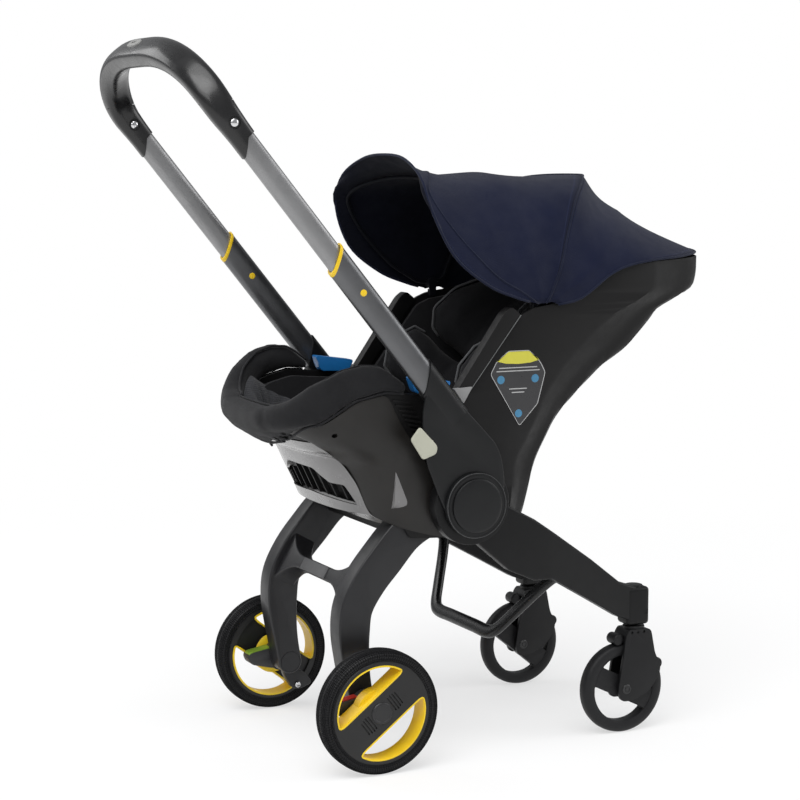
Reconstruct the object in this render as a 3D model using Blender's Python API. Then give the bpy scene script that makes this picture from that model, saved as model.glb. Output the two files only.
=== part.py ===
"""Car seat stroller: an infant car seat whose own wheels fold out from under it.

Metres, +Z up, +X the way it travels, +Y its left. The origin is on the floor under the middle of the bounding box.
Most sizes are taken from the hub, the cross axis about which the handle and the front legs turn.
"""

from math import asin, atan2, cos, degrees, hypot, pi, radians, sin

import bmesh
import bpy
from mathutils import Matrix, Vector

# Running gear
GAP = 0.0003
REAR_AXLE_X = -0.15115
WHEELBASE = 0.4090
WHEEL_R = 0.0863
WHEEL_WIDTH = 0.0350
WHEEL_Y = 0.1945
WHEEL_RIM_R = 0.0715
WHEEL_SIDES = 28
AXLE_R = 0.0060
CASTER_R = 0.0660
CASTER_WIDTH = 0.0220
CASTER_Y = 0.1560
CASTER_TRAIL = 0.0205
CASTER_SIDES = 28
CASTER_AXLE_R = 0.0035
BAND_ANGLE = radians(38)
BAND_HALF = 0.0225
LENS_R = 0.0665
CASTER_BAND_HALF = 0.0150
CASTER_BAND_ANGLE = {"left": radians(-39), "right": radians(-26)}
CASTER_LENS_R = 0.0490

# Hub, handle and legs
HUB_AHEAD = 0.1395
HUB_Z = 0.3626
HUB_PIN_R = 0.0090
HUB_BOSS_R = 0.0455
HUB_CAP_R = 0.0370
LEG_ROOT_R = 0.0565
BEAM_INNER_Y = 0.1840
BEAM_OUTER_Y = 0.2055
ARM_INNER_Y = 0.2062
ARM_FACE_Y = 0.2116
ARM_BOSS_Y = 0.2185
HUB_CAP_THICK = 0.0036
HANDLE_LEAN = radians(39)
HANDLE_OFFSET = 0.0566
HANDLE_Y = 0.2000
OUTER_TUBE = (0.0360, 0.0235)
INNER_TUBE = (0.0304, 0.0182)
TUBE_WALL = 0.0024
OUTER_TUBE_FOOT = 0.1825
OUTER_TUBE_TOP = 0.3890
CUT_SLANT = 0.80
RING_LENGTH = 0.0055
INNER_TUBE_FOOT = 0.3450
HANDLE_TRAVEL = 0.1800
GRIP_FOOT = 0.5880
GRIP_TOP = 0.7250
GRIP_SECTION = (0.0420, 0.0310)
GRIP_CORNER = 0.0920
GRIP_BEND = 0.0200
GRIP_SOCKET = 0.0400
BUTTON_TRAVEL = 0.0030

REAR_PIVOT = (-0.0145, -0.0276)
REAR_PIN_R = 0.0070
REAR_LEG_Y = 0.1300
REAR_LEG_THICK = 0.0350
REAR_LEG_WIDTH = 0.0460
REAR_FOLD = radians(51)
CHANNEL_CLEAR = 0.0030

# Seat
SEAT_HALF = 0.1740
SHELL_WALL = 0.0060
LINER_THICK = 0.0120
PANEL_THICK = 0.0040
CANOPY_PIVOT = (0.1185, 0.2790)
FABRIC_THICK = 0.0030
CANOPY_HALF = 0.1815

HUB_X = REAR_AXLE_X + HUB_AHEAD
SIDES = (("left", 1), ("right", -1))
EMPTIES = {}


def clear_scene():
    for obj in list(bpy.data.objects):
        bpy.data.objects.remove(obj, do_unlink=True)


def finish_material(name, colour, roughness, metallic=0.0):
    made = bpy.data.materials.get(name)
    if made is None:
        made = bpy.data.materials.new(name)
        made.use_nodes = True
        shader = made.node_tree.nodes["Principled BSDF"]
        shader.inputs["Base Color"].default_value = (*colour, 1)
        shader.inputs["Roughness"].default_value = roughness
        shader.inputs["Metallic"].default_value = metallic
    return made


def black_plastic():
    return finish_material("satin black plastic", (0.020, 0.021, 0.024), 0.42)


def panel_plastic():
    return finish_material("warm black plastic", (0.030, 0.028, 0.026), 0.38)


def grey_plastic():
    return finish_material("gloss grey plastic", (0.115, 0.115, 0.120), 0.25)


def pale_plastic():
    return finish_material("pale grey plastic", (0.55, 0.56, 0.50), 0.45)


def yellow_plastic():
    return finish_material("yellow plastic", (0.80, 0.56, 0.02), 0.40)


def blue_plastic():
    return finish_material("blue plastic", (0.02, 0.22, 0.62), 0.35)


def red_plastic():
    return finish_material("red plastic", (0.50, 0.03, 0.02), 0.40)


def tube_metal():
    return finish_material("anodised tube", (0.095, 0.097, 0.102), 0.38, 0.9)


def steel():
    return finish_material("bright steel", (0.60, 0.60, 0.60), 0.28, 1.0)


def rubber():
    return finish_material("tyre rubber", (0.016, 0.016, 0.017), 0.75)


def navy_fabric():
    return finish_material("navy fabric", (0.010, 0.014, 0.045), 0.85)


def charcoal_fabric():
    return finish_material("charcoal fabric", (0.030, 0.030, 0.032), 0.90)


def webbing():
    return finish_material("black webbing", (0.018, 0.018, 0.019), 0.85)


def place_body(name, x, y, z, parent=None):
    """An empty on the body's joint, which carries the body's pieces."""
    empty = bpy.data.objects.new(name + "_joint", None)
    bpy.context.collection.objects.link(empty)
    here = Vector((x, y, z))
    EMPTIES[name] = (empty, here)
    if parent:
        holder, there = EMPTIES[parent]
        empty.parent = holder
        empty.location = here - there
    else:
        empty.location = here
    return empty


def place(name, mesh, material, body, smooth=True):
    """Makes a closed piece out of a bmesh whose points are in world coordinates, and hangs it on its body."""
    empty, here = EMPTIES[body]
    bmesh.ops.remove_doubles(mesh, verts=mesh.verts, dist=1e-6)
    bmesh.ops.recalc_face_normals(mesh, faces=mesh.faces)
    bmesh.ops.translate(mesh, verts=mesh.verts, vec=-here)
    data = bpy.data.meshes.new(name)
    mesh.to_mesh(data)
    mesh.free()
    obj = bpy.data.objects.new(name, data)
    bpy.context.collection.objects.link(obj)
    obj.parent = empty
    data.materials.append(material)
    if smooth:
        data.shade_smooth()
        data.set_sharp_from_angle(angle=radians(35))
    return obj


def helper(name, mesh, body):
    """A shape that is only cut from, or joined to, another piece."""
    obj = place("shape_" + name, mesh, black_plastic(), body, smooth=False)
    obj.hide_render = True
    obj.display_type = "WIRE"
    return obj


def combine(obj, operation, *others):
    for other in others:
        step = obj.modifiers.new(other.name, "BOOLEAN")
        step.operation = operation
        step.solver = "EXACT"
        step.object = other
    return obj


def loft(rings, caps=True, wrap=False):
    """Joins closed rings of equally many points one to the next."""
    mesh = bmesh.new()
    made = [[mesh.verts.new(p) for p in ring] for ring in rings]
    pairs = list(zip(made, made[1:]))
    if wrap:
        pairs.append((made[-1], made[0]))
    count = len(made[0])
    for low, high in pairs:
        for i in range(count):
            j = (i + 1) % count
            mesh.faces.new((low[i], low[j], high[j], high[i]))
    if caps and not wrap:
        mesh.faces.new(list(reversed(made[0])))
        mesh.faces.new(made[-1])
    return mesh


def inset(outline, depth):
    """The closed outline moved inwards by depth, each corner along its bisector."""
    area = sum(a[0] * b[1] - b[0] * a[1] for a, b in zip(outline, outline[1:] + outline[:1]))
    turn = 1 if area > 0 else -1
    moved = []
    for i, here in enumerate(outline):
        before = outline[i - 1]
        after = outline[(i + 1) % len(outline)]
        into = Vector((here[0] - before[0], here[1] - before[1])).normalized()
        out = Vector((after[0] - here[0], after[1] - here[1])).normalized()
        normal = Vector((-into.y - out.y, into.x + out.x)) * turn
        if normal.length < 1e-9:
            normal = Vector((-into.y, into.x)) * turn
        normal.normalize()
        reach = depth / max(0.5, normal.dot(Vector((-into.y, into.x)) * turn))
        moved.append((here[0] + normal.x * reach, here[1] + normal.y * reach))
    return moved


def prism(outline, y0, y1, edge=0.0):
    """The outline in X and Z, pushed through from y0 to y1, its two rims chamfered by edge."""
    low, high = min(y0, y1), max(y0, y1)
    if edge:
        small = inset(outline, edge)
        layers = ((small, low), (outline, low + edge), (outline, high - edge), (small, high))
    else:
        layers = ((outline, low), (outline, high))
    return loft([[(x, y, z) for x, z in points] for points, y in layers])


def arc(centre, radius, start, end, count):
    """Points on a circle in X and Z, from one angle in radians to another."""
    steps = [start + (end - start) * i / (count - 1) for i in range(count)]
    return [(centre[0] + radius * cos(a), centre[1] + radius * sin(a)) for a in steps]


def circle(centre, radius, count):
    """A ring of points with a flat side at the bottom, its sides touching the radius."""
    reach = radius / cos(pi / count)
    turns = [2 * pi * (i + 0.5) / count - pi / 2 for i in range(count)]
    return [(centre[0] + reach * cos(a), centre[1] + reach * sin(a)) for a in turns]


def curve_through(points, count):
    """Points at equal steps along a smooth curve through the given points."""
    known = [Vector(p) for p in points]
    known = [2 * known[0] - known[1]] + known + [2 * known[-1] - known[-2]]
    fine = []
    for i in range(1, len(known) - 2):
        a, b, c, d = known[i - 1 : i + 3]
        for k in range(12):
            t = k / 12
            fine.append(
                0.5 * (2 * b + (c - a) * t + (2 * a - 5 * b + 4 * c - d) * t * t + (3 * b - a - 3 * c + d) * t ** 3)
            )
    fine.append(known[-2])
    lengths = [0.0]
    for before, after in zip(fine, fine[1:]):
        lengths.append(lengths[-1] + (after - before).length)
    found = []
    place_at = 0
    for i in range(count):
        target = lengths[-1] * i / (count - 1)
        while place_at < len(fine) - 2 and lengths[place_at + 1] < target:
            place_at += 1
        span = lengths[place_at + 1] - lengths[place_at]
        share = (target - lengths[place_at]) / span if span else 0
        found.append(fine[place_at].lerp(fine[place_at + 1], min(1, share)))
    return found


def oval(width, height, count, power=2.6):
    """A rounded section as pairs (u, v)."""
    points = []
    for i in range(count):
        a = 2 * pi * (i + 0.5) / count
        u = abs(cos(a)) ** (2 / power) * (1 if cos(a) > 0 else -1)
        v = abs(sin(a)) ** (2 / power) * (1 if sin(a) > 0 else -1)
        points.append((u * width / 2, v * height / 2))
    return points


def sweep(path, section, normal):
    """Carries a section along a flat path: u along the path's plane normal, v across the path in its plane."""
    path = [Vector(p) for p in path]
    normal = Vector(normal).normalized()
    rings = []
    for i, here in enumerate(path):
        along = (path[min(i + 1, len(path) - 1)] - path[max(i - 1, 0)]).normalized()
        across = along.cross(normal)
        rings.append([here + normal * u + across * v for u, v in section])
    return rings


def hub_point(dx, dz):
    return (HUB_X + dx, HUB_Z + dz)


def hub_outline(points):
    return [hub_point(*p) for p in points]


def cylinder(centre, radius, y0, y1, sides=24, edge=0.0):
    return prism(circle(centre, radius, sides), y0, y1, edge)


# Seat shell. Each level: height above the hub, then the front, the crease, the corner and the back along X,
# and the half widths at the side and at the back corner.
SHELL_LEVELS = (
    (-0.0506, -0.170, 0.070, 0.100, 0.108, 0.166, 0.142),
    (-0.0300, -0.182, 0.074, 0.108, 0.116, 0.170, 0.146),
    (0.0000, -0.194, 0.078, 0.115, 0.124, 0.172, 0.148),
    (0.0480, -0.210, 0.080, 0.127, 0.138, 0.174, 0.150),
    (0.1080, -0.240, 0.113, 0.160, 0.174, 0.174, 0.150),
    (0.1400, -0.250, 0.125, 0.193, 0.208, 0.174, 0.150),
    (0.1810, -0.252, 0.155, 0.240, 0.256, 0.174, 0.150),
    (0.1960, -0.252, 0.170, 0.272, 0.284, 0.174, 0.150),
    (0.2340, -0.252, 0.211, 0.309, 0.324, 0.174, 0.150),
    (0.2640, -0.252, 0.262, 0.334, 0.350, 0.174, 0.150),
    (0.2740, -0.252, 0.300, 0.388, 0.412, 0.174, 0.142),
    (0.3000, -0.252, 0.305, 0.398, 0.428, 0.174, 0.140),
    (0.3500, -0.252, 0.305, 0.398, 0.432, 0.174, 0.140),
)
# The bucket inside it, with thick lower walls that hold the rear legs' channels.
BUCKET_LEVELS = (
    (-0.0400, -0.055, 0.050, 0.084, 0.092, 0.096, 0.080),
    (-0.0150, -0.066, 0.060, 0.100, 0.108, 0.100, 0.086),
    (0.0200, -0.070, 0.070, 0.110, 0.120, 0.102, 0.090),
    (0.0480, -0.076, 0.080, 0.118, 0.128, 0.104, 0.092),
    (0.0540, -0.180, 0.082, 0.122, 0.132, 0.106, 0.094),
    (0.0640, -0.196, 0.088, 0.128, 0.140, 0.160, 0.140),
)


def level_at(levels, dz):
    """The level's sizes at a height, between the given ones."""
    for low, high in zip(levels, levels[1:]):
        if dz <= high[0]:
            share = max(0.0, (dz - low[0]) / (high[0] - low[0]))
            return tuple(a + (b - a) * share for a, b in zip(low, high))
    return levels[-1]


def plan(level, grow=0.0):
    """The closed outline of the shell seen from above at one level, moved outwards by grow."""
    dz, front, crease, corner, back, half, half_corner = level
    front, back = front - grow, back + grow
    half, half_corner = half + grow, half_corner + grow * 0.7
    corner = corner + grow * 0.7
    nose = min(0.130, (crease - front) * 0.62)
    side = []
    for i in range(7):
        a = pi / 2 * i / 6
        x = front + nose * (1 - cos(a) ** (2 / 2.6))
        side.append((x, half * sin(a) ** (2 / 2.6)))
    run = crease - (front + nose)
    side.append((front + nose + run * 0.45, half))
    side.append((crease, half))
    side.append((crease * 0.45 + corner * 0.55, half * 0.40 + half_corner * 0.60))
    side.append((corner, half_corner))
    side.append((corner * 0.30 + back * 0.70, half_corner * 0.62))
    side.append((back - (back - corner) * 0.04, half_corner * 0.25))
    mirrored = [(x, -y) for x, y in reversed(side[1:])]
    return [(HUB_X + x, y, HUB_Z + dz) for x, y in side + mirrored]


def shell_loft(levels, grow=0.0):
    return loft([plan(level, grow) for level in levels])


def inner_levels():
    """The bucket's levels, and above them the shell's own less its wall."""
    upper = [level_at(SHELL_LEVELS, 0.090)] + [v for v in SHELL_LEVELS if v[0] > 0.100]
    grown = []
    for dz, front, crease, corner, back, half, half_corner in upper:
        grown.append(
            (dz, front + SHELL_WALL, crease - 0.003, corner - 0.004, back - SHELL_WALL - 0.002,
             half - SHELL_WALL, half_corner - 0.003)
        )
    return list(BUCKET_LEVELS) + grown


RIM_LINE = (
    (-0.300, 0.102), (-0.240, 0.106), (-0.205, 0.114), (-0.181, 0.132), (-0.160, 0.146), (-0.117, 0.156),
    (-0.070, 0.152), (-0.024, 0.150), (0.010, 0.150), (0.0905, 0.2550), (0.112, 0.2640), (0.1475, 0.2690),
    (0.1805, 0.2755), (0.2065, 0.2900), (0.2315, 0.3070), (0.2625, 0.3180), (0.3055, 0.3236), (0.360, 0.3248),
    (0.410, 0.3280), (0.434, 0.3302), (0.460, 0.3308),
)


def rim_height(dx):
    for (x0, z0), (x1, z1) in zip(RIM_LINE, RIM_LINE[1:]):
        if dx <= x1:
            return z0 + (z1 - z0) * (dx - x0) / (x1 - x0)
    return RIM_LINE[-1][1]


def above_rim(drop, start=0.0):
    """A block over the rim line lowered by drop, which trims what stands above it."""
    line = [hub_point(x, z - drop) for x, z in RIM_LINE]
    top = HUB_Z + 0.60
    outline = line + [(line[-1][0], top), (line[0][0] - start, top)]
    return prism(outline, -0.30, 0.30)


# Underside of the foot well, above which the shell and below which the tray lies.
TRAY_TOP = ((-0.262, 0.0930), (-0.228, 0.0780), (-0.199, 0.0475), (-0.0790, 0.0475), (-0.0790, -0.0700))
# The tray under the foot well, in the same levels as the shell.
TRAY_LEVELS = (
    (-0.0410, -0.0840, 0.060, 0.090, 0.100, 0.164, 0.140),
    (-0.0326, -0.0895, 0.060, 0.090, 0.100, 0.166, 0.140),
    (-0.0206, -0.1010, 0.060, 0.090, 0.100, 0.167, 0.140),
    (-0.0016, -0.1800, 0.060, 0.090, 0.100, 0.168, 0.140),
    (0.0044, -0.1920, 0.060, 0.090, 0.100, 0.168, 0.140),
    (0.0830, -0.2330, 0.060, 0.090, 0.100, 0.168, 0.140),
)


def turn_point(point, centre, angle):
    """Turns a point in X and Z about a cross axis, clockwise as seen from the right side."""
    dx, dz = point[0] - centre[0], point[1] - centre[1]
    return (
        centre[0] + dx * cos(angle) + dz * sin(angle),
        centre[1] - dx * sin(angle) + dz * cos(angle),
    )


# Rear leg, from its pivot to the wheel axle: the centre line from the hub and the width at each point.
LEG_LINE = (
    (-0.0145, -0.0276, 0.0420), (-0.0440, -0.0310, 0.0490), (-0.0735, -0.0475, 0.0520), (-0.1020, -0.0785, 0.0530),
    (-0.1275, -0.1090, 0.0510), (-0.1465, -0.1430, 0.0480), (-0.1510, -0.1780, 0.0465), (-0.1490, -0.2150, 0.0410),
    (-0.1450, -0.2450, 0.0370), (-0.1395, -0.2763, 0.0360),
)
BAR_SHARE = 4.35
BAR_HEIGHT = 0.0200
BAR_DEPTH = 0.0240


def leg_outline():
    middle = [Vector((*hub_point(x, z), 0)) for x, z, _ in LEG_LINE]
    middle[-1] = Vector((REAR_AXLE_X, WHEEL_R, 0))
    back_edge, front_edge = [], []
    for i, here in enumerate(middle):
        step = (middle[min(i + 1, len(middle) - 1)] - middle[max(i - 1, 0)]).normalized()
        side = Vector((step.y, -step.x))
        half = LEG_LINE[i][2] / 2
        back_edge.append((here.x + side.x * half, here.y + side.y * half))
        front_edge.append((here.x - side.x * half, here.y - side.y * half))
    root, foot = LEG_LINE[0][2] / 2, LEG_LINE[-1][2] / 2
    start = atan2(front_edge[0][1] - middle[0].y, front_edge[0][0] - middle[0].x)
    over = arc(middle[0], root, start, start + pi, 8)[1:-1]
    start = atan2(back_edge[-1][1] - middle[-1].y, back_edge[-1][0] - middle[-1].x)
    under = arc(middle[-1], foot, start, start + pi, 8)[1:-1]
    return back_edge + under + front_edge[::-1] + over


def bar_outline():
    """The cross bar of the rear legs in X and Z, with its centre and its directions along and behind the legs."""
    low = int(BAR_SHARE)
    first, second = (Vector(hub_point(x, z)) for x, z, _ in LEG_LINE[low : low + 2])
    run = (second - first).normalized()
    out = Vector((run.y, -run.x))
    centre = first.lerp(second, BAR_SHARE - low) + out * 0.0040
    half_run, half_out = BAR_HEIGHT / 2 + 0.0300, BAR_DEPTH / 2
    corners = ((-half_run, -half_out), (half_run, -half_out), (half_run, half_out), (-half_run, half_out))
    return [tuple(centre + run * a + out * b) for a, b in corners], centre, run, out


def folded_shadow(outline, grow, floor):
    """All of what the outline, turned to the folded place, fills from a floor level up, as a column outline."""
    pivot = hub_point(*REAR_PIVOT)
    turned = [turn_point(p, pivot, REAR_FOLD) for p in outline]
    turned = [Vector(p) for p in inset([tuple(p) for p in turned], -grow)]
    left = min(p.x for p in turned)
    right = max(p.x for p in turned)
    count = 14
    top = []
    for i in range(count + 1):
        x = left + (right - left) * i / count
        highest = floor
        for a, b in zip(turned, turned[1:] + turned[:1]):
            if min(a.x, b.x) - 1e-9 <= x <= max(a.x, b.x) + 1e-9 and abs(a.x - b.x) > 1e-9:
                highest = max(highest, a.y + (b.y - a.y) * (x - a.x) / (b.x - a.x))
        top.append((x, highest))
    return [(left, floor)] + [p for p in top if p[1] > floor + 1e-6] + [(right, floor)]


def handle_axes():
    along = Vector((-sin(HANDLE_LEAN), cos(HANDLE_LEAN)))
    ahead = Vector((cos(HANDLE_LEAN), sin(HANDLE_LEAN)))
    return along, ahead


def on_handle(s, off=0.0):
    """The point at a distance along the handle from the hub, and off ahead of the tubes' centre line."""
    along, ahead = handle_axes()
    here = Vector((HUB_X, HUB_Z)) + along * s + ahead * (HANDLE_OFFSET + off)
    return here.x, here.y


def tube_ring(size, s, side, slant=0.0, count=16):
    points = []
    for off, across in oval(size[0], size[1], count, 3.0):
        x, z = on_handle(s + slant * off, off)
        points.append((x, side * HANDLE_Y + across, z))
    return points


def shrink(size, by):
    return (size[0] - 2 * by, size[1] - 2 * by)


def make_bodies():
    root = place_body("seat", HUB_X, 0, HUB_Z)
    place_body("handle", HUB_X, 0, HUB_Z, "seat")
    x, z = on_handle(OUTER_TUBE_TOP)
    place_body("handle_upper", x, 0, z, "handle")
    x, z = on_handle(GRIP_TOP, GRIP_BEND)
    place_body("grip_button", x, 0, z, "handle_upper")
    place_body("front_legs", HUB_X, 0, HUB_Z, "seat")
    place_body("rear_legs", HUB_X + REAR_PIVOT[0], 0, HUB_Z + REAR_PIVOT[1], "seat")
    caster_x = REAR_AXLE_X + WHEELBASE
    for name, side in SIDES:
        place_body("release_button_" + name, HUB_X + BUTTON_AT[0], side * ARM_FACE_Y, HUB_Z + BUTTON_AT[1], "handle")
        place_body("caster_fork_" + name, caster_x + CASTER_TRAIL, side * CASTER_Y, FORK_TOP, "front_legs")
        place_body("caster_wheel_" + name, caster_x, side * CASTER_Y, CASTER_R, "caster_fork_" + name)
        place_body("wheel_" + name, REAR_AXLE_X, side * WHEEL_Y, WHEEL_R, "rear_legs")
        place_body("brake_pedal_" + name, *pedal_point(side), "rear_legs")
    place_body("canopy_mid", HUB_X + CANOPY_PIVOT[0], 0, HUB_Z + CANOPY_PIVOT[1], "seat")
    place_body("canopy_front", HUB_X + CANOPY_PIVOT[0], 0, HUB_Z + CANOPY_PIVOT[1], "canopy_mid")
    place_body("buckle_button", HUB_X + BUCKLE_AT[0], 0, HUB_Z + BUCKLE_AT[1], "seat")
    return root


# Release button on the arm, as a pale rocker whose stem passes through the arm.
BUTTON_AT = (-0.0680, 0.0900)
BUTTON_OUTLINE = ((-0.0985, 0.0960), (-0.0845, 0.1130), (-0.0580, 0.0850), (-0.0600, 0.0745), (-0.0800, 0.0675))
BUTTON_THICK = 0.0065
BUTTON_STEM_R = 0.0045
FORK_TOP = 0.1570
HEAD_BOTTOM = 0.1590
HEAD_TOP = 0.2180
HEAD_R = 0.0175
STEM_R = 0.0060
BUCKLE_AT = (-0.0200, 0.0950)


def pedal_point(side):
    return (REAR_AXLE_X, side * (REAR_LEG_Y + REAR_LEG_THICK / 2 + 0.0150), WHEEL_R)


def leg_channels():
    """Cutters for the space that the folded rear legs and their cross bar fill."""
    floor = HUB_Z - 0.0900
    half = REAR_LEG_THICK / 2 + CHANNEL_CLEAR
    made = []
    outline = leg_outline()
    pivot = hub_point(*REAR_PIVOT)
    reach = LEG_LINE[0][2] / 2 + 0.0020
    for name, side in SIDES:
        shadow = folded_shadow(outline, CHANNEL_CLEAR, floor)
        rest = inset(outline, -CHANNEL_CLEAR)
        well = arc(pivot, reach, 0, pi, 12)
        well = [(well[0][0], floor)] + well + [(well[-1][0], floor)]
        for what, points, more in (("channel", shadow, 0.0), ("slot", rest, 0.0003), ("well", well, 0.0006)):
            y0, y1 = side * (REAR_LEG_Y - half - more), side * (REAR_LEG_Y + half + more)
            made.append(helper(what + "_" + name, prism(points, y0, y1), "seat"))
    bar, _, _, _ = bar_outline()
    inner = REAR_LEG_Y - REAR_LEG_THICK / 2 + 0.004
    made.append(helper("bar_recess", prism(folded_shadow(bar, CHANNEL_CLEAR, floor - 0.001), -inner, inner), "seat"))
    return made


def build_seat():
    channels = leg_channels()
    inside = helper("bucket", shell_loft(inner_levels()), "seat")
    trim = helper("over_rim", above_rim(0.0, 0.10), "seat")
    below = list(TRAY_TOP) + [(-0.320, -0.0700), (-0.320, 0.0930)]
    tray_room = helper("tray_room", prism(hub_outline(below), -0.30, 0.30), "seat")
    pin_holes = []
    for name, side in SIDES:
        pin_holes.append(
            helper("hub_bore_" + name, cylinder(hub_point(0, 0), HUB_PIN_R + GAP, side * 0.154, side * 0.30), "seat"))
        pin_holes.append(
            helper("rear_bore_" + name,
                   cylinder(hub_point(*REAR_PIVOT), REAR_PIN_R + GAP, side * 0.1045, side * 0.165), "seat"))
    shell = place("seat_shell", shell_loft(SHELL_LEVELS), black_plastic(), "seat")
    combine(shell, "DIFFERENCE", inside, trim, tray_room, *channels, *pin_holes)

    under = [(x, z - GAP) for x, z in TRAY_TOP]
    under[3:] = [(x - GAP, z) for x, z in under[3:]]
    room = helper("under_well", prism(hub_outline(under + [(-0.320, -0.0700), (-0.320, 0.0927)]), -0.3, 0.3), "seat")
    tray = place("foot_tray", shell_loft(TRAY_LEVELS), grey_plastic(), "seat")
    combine(tray, "DIFFERENCE", *(c for c in channels if "channel" in c.name or "bar" in c.name))
    combine(tray, "INTERSECT", room)


def build_side_panels():
    outline = hub_outline((
        (-0.2395, 0.1044), (-0.2200, 0.1080), (-0.2045, 0.1100), (-0.1815, 0.1290), (-0.1605, 0.1450),
        (-0.1165, 0.1540), (-0.0700, 0.1500), (0.0080, 0.1480), (0.0480, 0.1200), (0.0560, 0.0600),
        (0.0600, 0.0000), (0.0500, -0.0400), (0.0200, -0.0500), (-0.0065, -0.0506), (-0.0375, -0.0476),
        (-0.0835, -0.0356), (-0.1295, -0.0216), (-0.1375, -0.0046), (-0.1575, 0.0274), (-0.1815, 0.0644),
        (-0.2105, 0.0874),
    ))
    core = helper("panel_core", shell_loft(SHELL_LEVELS, GAP), "seat")
    for name, side in SIDES:
        window = helper("panel_window_" + name, prism(outline, side * 0.11, side * 0.24), "seat")
        bore = helper("panel_bore_" + name,
                      cylinder(hub_point(0, 0), HUB_PIN_R + GAP, side * 0.10, side * 0.30), "seat")
        panel = place("side_panel_" + name, shell_loft(SHELL_LEVELS, GAP + PANEL_THICK), panel_plastic(), "seat")
        combine(panel, "INTERSECT", window)
        combine(panel, "DIFFERENCE", core, bore)


def build_rails():
    """The moulded edge of the shell's side opening, with the belt hook at its foot."""
    outline = hub_outline((
        (-0.0060, 0.1505), (0.0085, 0.1503), (0.0890, 0.2550), (0.0760, 0.2660), (0.0680, 0.2600),
    ))
    for name, side in SIDES:
        y0, y1 = side * 0.1480, side * (SEAT_HALF + 0.0035)
        place("side_rail_" + name, prism(outline, y0, y1, 0.0030), black_plastic(), "seat")


def build_pins():
    for name, side in SIDES:
        place("hub_pin_" + name,
              cylinder(hub_point(0, 0), HUB_PIN_R, side * 0.1545, side * (ARM_BOSS_Y - 0.0008), 24, 0.0008),
              steel(), "seat")
        place("rear_leg_pin_" + name,
              cylinder(hub_point(*REAR_PIVOT), REAR_PIN_R, side * 0.1048, side * 0.1647, 20, 0.0008),
              steel(), "seat")


ARM_OUTLINE = (
    (-0.0345, 0.1590), (-0.0225, 0.1414), (0.0335, 0.0824), (0.0425, 0.0594), (0.0465, 0.0294), (0.0435, -0.0016),
    (0.0285, -0.0306), (0.0045, -0.0436), (-0.0195, -0.0396), (-0.0335, -0.0306), (-0.0525, 0.0124),
    (-0.0725, 0.0624), (-0.0785, 0.1144), (-0.0778, 0.1400), (-0.0700, 0.1620), (-0.0500, 0.1680),
)
SOCKET_WALL = 0.0018
SOCKET_DEPTH = 0.0330
SOCKET_FOOT = 0.1080


def tube_body(size, s0, s1, slant0, slant1, side, bore=0.0):
    """A straight piece of oval tube with slanted ends, or a solid bar where it has no bore."""
    rings = [tube_ring(size, s0, side, slant0), tube_ring(size, s1, side, slant1)]
    if bore:
        small = shrink(size, bore)
        rings += [tube_ring(small, s1, side, slant1), tube_ring(small, s0, side, slant0)]
        return loft(rings, wrap=True)
    return loft(rings)


def build_handle():
    for name, side in SIDES:
        arm = place("handle_arm_" + name,
                    prism(hub_outline(ARM_OUTLINE), side * ARM_INNER_Y, side * ARM_FACE_Y, 0.0012),
                    black_plastic(), "handle")
        outer = (OUTER_TUBE[0] + 2 * (SOCKET_WALL + GAP), OUTER_TUBE[1] + 2 * (SOCKET_WALL + GAP))
        socket = helper("socket_" + name,
                        tube_body(outer, SOCKET_FOOT, OUTER_TUBE_FOOT, 0.0, CUT_SLANT, side), "handle")
        boss = helper("hub_boss_" + name,
                      cylinder(hub_point(0, 0), HUB_BOSS_R, side * (ARM_FACE_Y - 0.003), side * ARM_BOSS_Y, 28, 0.0015),
                      "handle")
        room = (OUTER_TUBE[0] + 2 * GAP, OUTER_TUBE[1] + 2 * GAP)
        foot = OUTER_TUBE_FOOT - SOCKET_DEPTH
        bore = helper("tube_room_" + name, tube_body(room, foot - GAP, OUTER_TUBE_FOOT + 0.1, 0, 0, side), "handle")
        pin = helper("pin_room_" + name,
                     cylinder(hub_point(0, 0), HUB_PIN_R + GAP, side * 0.19, side * 0.30), "handle")
        pocket = hub_outline(inset(list(BUTTON_OUTLINE), -0.0004))
        well = helper("button_well_" + name,
                      prism(pocket, side * (ARM_FACE_Y - BUTTON_TRAVEL - 0.0006), side * 0.25), "handle")
        stem = helper("stem_room_" + name,
                      cylinder(hub_point(*BUTTON_AT), BUTTON_STEM_R + GAP, side * 0.20, side * 0.25, 16), "handle")
        combine(arm, "UNION", socket, boss)
        combine(arm, "DIFFERENCE", bore, pin, well, stem)

        place("outer_tube_" + name,
              tube_body(OUTER_TUBE, foot, OUTER_TUBE_TOP, 0.0, CUT_SLANT * 0.5, side, TUBE_WALL),
              tube_metal(), "handle")
        place("tube_collar_" + name,
              tube_body(shrink(OUTER_TUBE, -0.0006), OUTER_TUBE_TOP + GAP, OUTER_TUBE_TOP + RING_LENGTH,
                        CUT_SLANT * 0.5, CUT_SLANT * 0.5, side, TUBE_WALL + 0.0006),
              yellow_plastic(), "handle")
        y0 = side * (ARM_BOSS_Y + GAP)
        place("hub_cap_" + name, cylinder(hub_point(0, 0), HUB_CAP_R, y0, y0 + side * HUB_CAP_THICK, 28, 0.0012),
              black_plastic(), "handle")

        base = ARM_FACE_Y - 0.0004
        button = place("release_button_" + name,
                       prism(hub_outline(BUTTON_OUTLINE), side * base, side * (base + 0.0036), 0.0010),
                       pale_plastic(), "release_button_" + name)
        post = helper("button_stem_" + name,
                      cylinder(hub_point(*BUTTON_AT), BUTTON_STEM_R, side * (ARM_INNER_Y + 0.0006),
                               side * (base + 0.0015), 16),
                      "release_button_" + name)
        combine(button, "UNION", post)


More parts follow.
